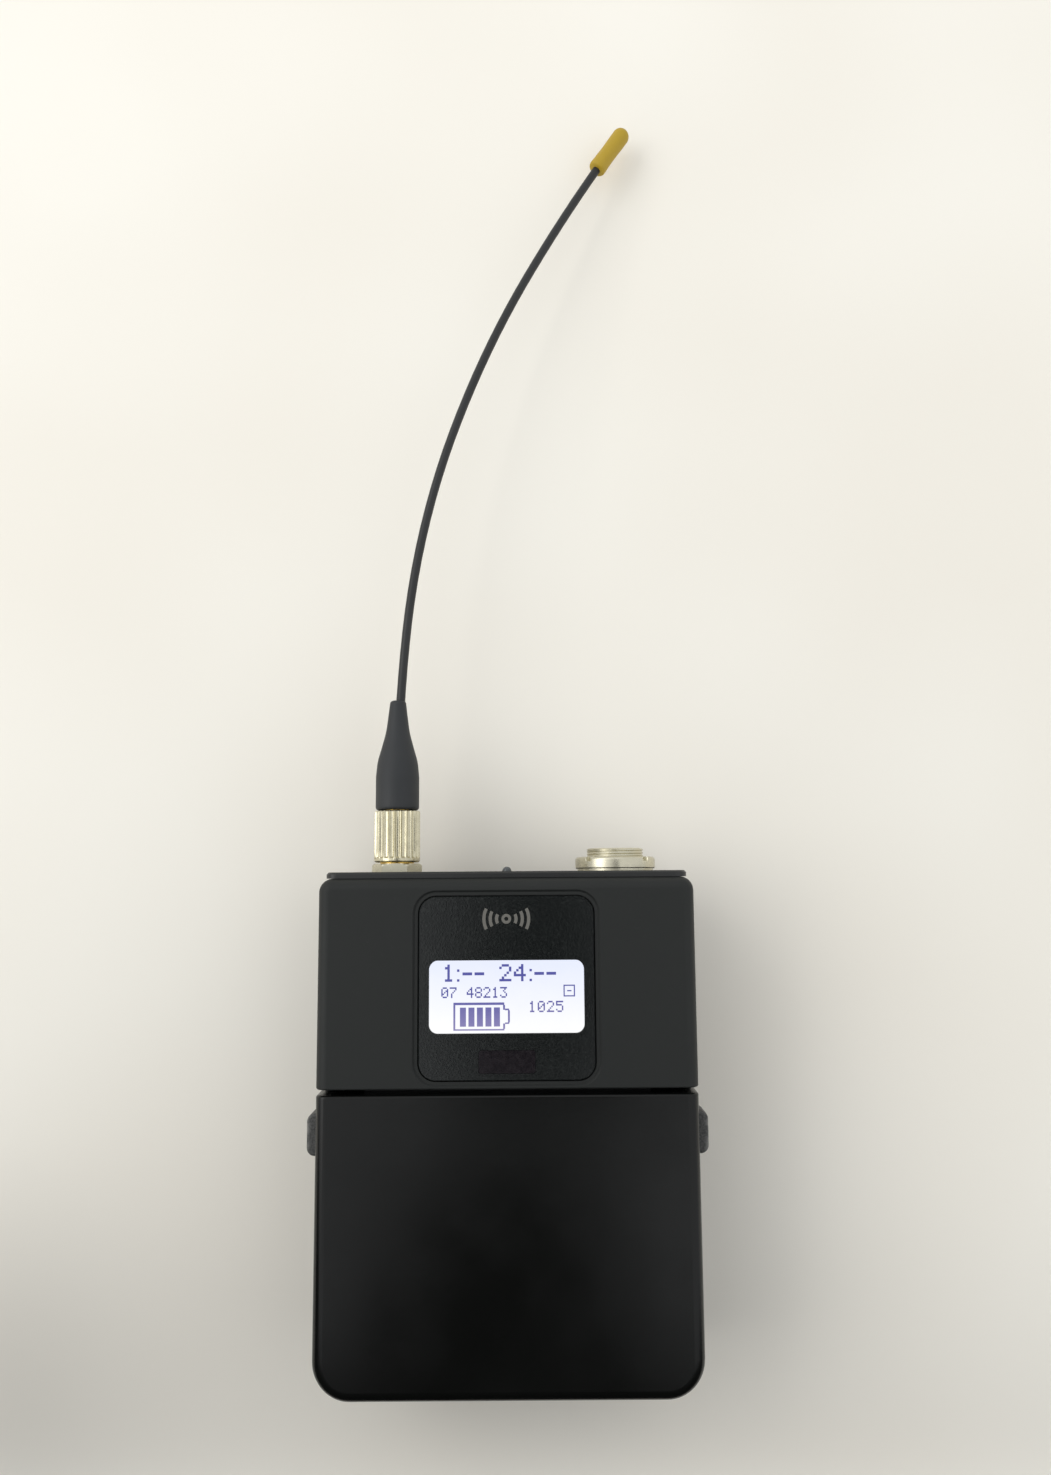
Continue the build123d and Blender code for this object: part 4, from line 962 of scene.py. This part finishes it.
def flat_arc(name, centre, radii, angles, heights, closed=False):
    """A strip from radii[0] to radii[1] and from heights[0] to heights[1], carried round centre
    from angles[0] to angles[1] degrees."""
    turn = np.radians(np.linspace(*angles, 48, endpoint=not closed))
    near, far = radii
    low, high = heights
    corners = np.array([(near, low), (far, low), (far, high), (near, high)])
    reach = corners[None, :, 0]
    x = centre[0] + reach * np.cos(turn)[:, None]
    y = centre[1] + reach * np.sin(turn)[:, None]
    z = np.broadcast_to(corners[None, :, 1], x.shape)
    return sharpen(grid_piece(name, np.stack([x, y, z], -1), ring=closed), 30)


panel_low, panel_high = span("screen_panel")
mark_centre = ((panel_low[0] + panel_high[0]) / 2, panel_high[1] - 3.9)
mark_z = (panel_high[2] - 0.02, panel_high[2] + 0.012)
strips = [("wave_ring", (0.35, 0.85), (0, 360), True)]
for number, radius in enumerate((1.7, 2.8, 3.9), start=1):
    strips.append((f"wave_right_{number}", (radius - 0.28, radius + 0.28), (-27, 27), False))
    strips.append((f"wave_left_{number}", (radius - 0.28, radius + 0.28), (153, 207), False))
for name, radii, angles, closed in strips:
    strip = flat_arc(name, mark_centre, radii, angles, mark_z, closed)
    install(strip, "case", "panel", "print_grey")

# %% [markdown]
# ## The camera
# The camera stands almost straight above the case's top end, and its view is tipped seven degrees
# towards the antenna's tip. It has the wide lens of a phone and is less than a quarter of a metre
# above the paper, so the case looks a little wider at its bottom end.

# %% Camera
camera_place = (3.4, 43.4, 228.3)
camera_tip = (7.14, -0.05, -0.40)
camera_data = bpy.data.cameras.new("camera")
camera_data.sensor_width = 36.0
camera_data.lens = 27.58
camera_data.clip_start = 0.01
camera_data.clip_end = 10
camera = bpy.data.objects.new("camera", camera_data)
bpy.context.scene.collection.objects.link(camera)
tips = [Matrix.Rotation(math.radians(a), 4, axis) for a, axis in zip(camera_tip, "XYZ")]
camera.matrix_world = Matrix.Translation(Vector(camera_place) * MM) @ tips[0] @ tips[1] @ tips[2]
bpy.context.scene.camera = camera
print("camera at", camera_place, "lens", camera_data.lens)

# %% [markdown]
# ## The floor
# The pack lies on plain pale paper. Its colour drifts slowly between two off-whites, and a faint
# fibre stands in its normal.

# %% Floor


def paper():
    """Off-white paper with a faint fibre."""
    paint = Paint("paper")
    fibre = paint.noise(1.2, detail=5.0, rough=0.6)
    cloud = paint.noise(0.012, detail=1.0)
    drift = paint.spread(cloud, 0.35, 0.65)
    paint.set(
        base_color=paint.mix(drift, srgb(243, 238, 227), srgb(247, 243, 233)),
        roughness=0.85,
        normal=paint.bump(fibre, 0.15, 0.02),
    )
    return paint.material


reach = 1.5
floor_corners = [(-reach, -reach, 0), (reach, -reach, 0), (reach, reach, 0), (-reach, reach, 0)]
floor = mesh_piece("floor", np.array(floor_corners) / MM, [(0, 1, 2, 3)])
floor.data.materials.append(paper())
print("floor", 2 * reach, "m square")

# %% [markdown]
# ## Dark cards
# Someone leans over the pack from its bottom end and holds a camera above it, and both keep light
# off the paper. Dark cards stand for them, as a studio uses black flags: one floats over the pack
# like the camera, one widens away from it like arms and shoulders, and two stand beside the bottom
# end like a coat and a sleeve. Those two hang about 2 cm above the paper, so that the line they
# leave on it is soft. The smooth door shows the cards as a dark middle between two soft sides. They
# are hidden from the camera, because other views pass through them.

# %% Cards


def card(name, corners, shade=0.02):
    """A flat dark sheet from its corners in mm. The camera looks through it, but light and
    reflections meet it."""
    sheet = mesh_piece(name, corners, [tuple(range(len(corners)))], smooth=False)
    paint = Paint(name)
    paint.set(base_color=(shade, shade, shade), roughness=0.9)
    sheet.data.materials.append(paint.material)
    sheet.visible_camera = False


person_z, camera_z = 250, 240
right_arm = [(30, -50), (31, -62), (32, -74), (39, -93)]
right_arm += [(45, -111), (54, -130), (148, -227), (144, -700)]
left_arm = [(-144, -700), (-148, -227), (-63, -130), (-60, -111)]
left_arm += [(-51, -93), (-44, -74), (-30, -59), (-20, -50)]
card("person_card", [(x, y, person_z) for x, y in right_arm + left_arm])
camera_outline = [(-26, 75), (-26, -38), (42, -38), (42, 75)]
card("camera_card", [(x, y, camera_z) for x, y in camera_outline])
coat = [(-128, -72, 18), (-128, -66, 95), (30, -66, 95), (120, -66, 62), (160, -72, 22)]
card("coat_card", coat)
card("sleeve_card", [(-128, -70, 22), (-128, -15, 24), (-128, -15, 40), (-128, -70, 110)])
print("cards over the pack at", person_z, "and", camera_z, "mm, and two that stand beside it")

# %% [markdown]
# ## Sky and lamp
# The ceiling is bright, so the world's light falls off from overhead to the horizon. A wide window
# lamp on the left lays a soft shadow on the right.

# %% Sky and lamp


def sky(overhead, horizon):
    """A world whose light falls from overhead, inside 37 degrees of straight up, to horizon."""
    world = bpy.data.worlds.new("room")
    world.use_nodes = True
    world.node_tree.nodes.clear()
    paint = Paint.over(world.node_tree)
    ray = paint.node("ShaderNodeTexCoord", {}, {}, out=0)
    z = paint.node("ShaderNodeSeparateXYZ", {}, {0: ray}, out=2)
    level = paint.spread(z, 0.25, 0.8, horizon, overhead)
    background = paint.tree.nodes.new("ShaderNodeBackground")
    background.inputs["Color"].default_value = (0.97, 0.985, 1.0, 1)
    paint.tree.links.new(level.socket, background.inputs["Strength"])
    output = paint.tree.nodes.new("ShaderNodeOutputWorld")
    paint.tree.links.new(background.outputs[0], output.inputs[0])
    return world


bpy.context.scene.world = sky(0.97, 0.84)
lamp_data = bpy.data.lights.new("window", "AREA")
lamp_data.shape = "RECTANGLE"
lamp_data.size, lamp_data.size_y = 1.2, 0.6
lamp_data.energy = 4.0
lamp_data.color = (1.0, 0.985, 0.95)
lamp = bpy.data.objects.new("window", lamp_data)
lamp_place = Vector((-0.80, 0.35, 0.75))
aim = Vector((0.0, 0.12, 0.0)) - lamp_place
facing = aim.to_track_quat("-Z", "Y").to_matrix().to_4x4()
lamp.matrix_world = Matrix.Translation(lamp_place) @ facing
bpy.context.scene.collection.objects.link(lamp)
bpy.context.scene.view_settings.view_transform = "Standard"
print("sky and window lamp ready")

# %% [markdown]
# ## Dressing the frame's own pieces
# Most pieces keep the frame's shape and only get a finish. The table goes finish by finish, and
# the last line prints any node that was forgotten.

# %% Finishes on the frame
dressing = {
    "shell_paint": ["rear_shell"],
    "cover_paint": ["front_cover"],
    "door_paint": ["battery_door"],
    "end_plastic": ["end_plate"],
    "inner_plastic": ["battery_cradle", "control_deck", "screen_frame"],
    "switch_plastic": ["power_slider", "slide_switch", "tact_switches", "infrared_transceiver"],
    "button_rubber": [f"menu_button_{number}" for number in range(1, 5)],
    "black_insert": ["socket_insert"],
    "white_insulator": ["jack_insulator", "status_lamp"],
    "nickel": ["socket_washer"],
    "gold": ["antenna_jack", "socket_pins", "antenna_ferrule"],
    "steel": ["hinge_pin_left", "hinge_pin_right"],
    "spring_steel": ["latch_spring_left", "latch_spring_right"],
    "contact_metal": ["contact_plate_left", "contact_plate_right"],
    "screw_steel": ["case_screws"],
    "shield_tin": ["rf_shield", "screen_module"],
    "panel_grain": ["screen_panel"],
    "infrared_plastic": ["infrared_window"],
    "display_glow": ["display_window"],
    "board_green": ["main_board"],
    "foam": ["door_pad"],
    "ribbon_film": ["screen_ribbon"],
    "label_film": ["rear_label"],
    "lamp_plastic": ["lamp_pipe"],
    "tab_plastic": ["latch_tab_left", "latch_tab_right"],
}
for finish, names in dressing.items():
    for node in names:
        nodes[node].data.materials.clear()
        nodes[node].data.materials.append(finishes[finish])
dressed = {node for names in dressing.values() for node in names}
replaced = {
    "antenna_whip", "antenna_tip", "antenna_boot", "antenna_collar", "jack_nut", "socket_barrel",
    "socket_nut", "aa_cell_lower", "aa_cell_upper", "coil_contact_lower", "coil_contact_upper",
    "belt_clip",
}
print("dressed", len(dressed), "replaced", len(replaced), "left", set(nodes) - dressed - replaced)
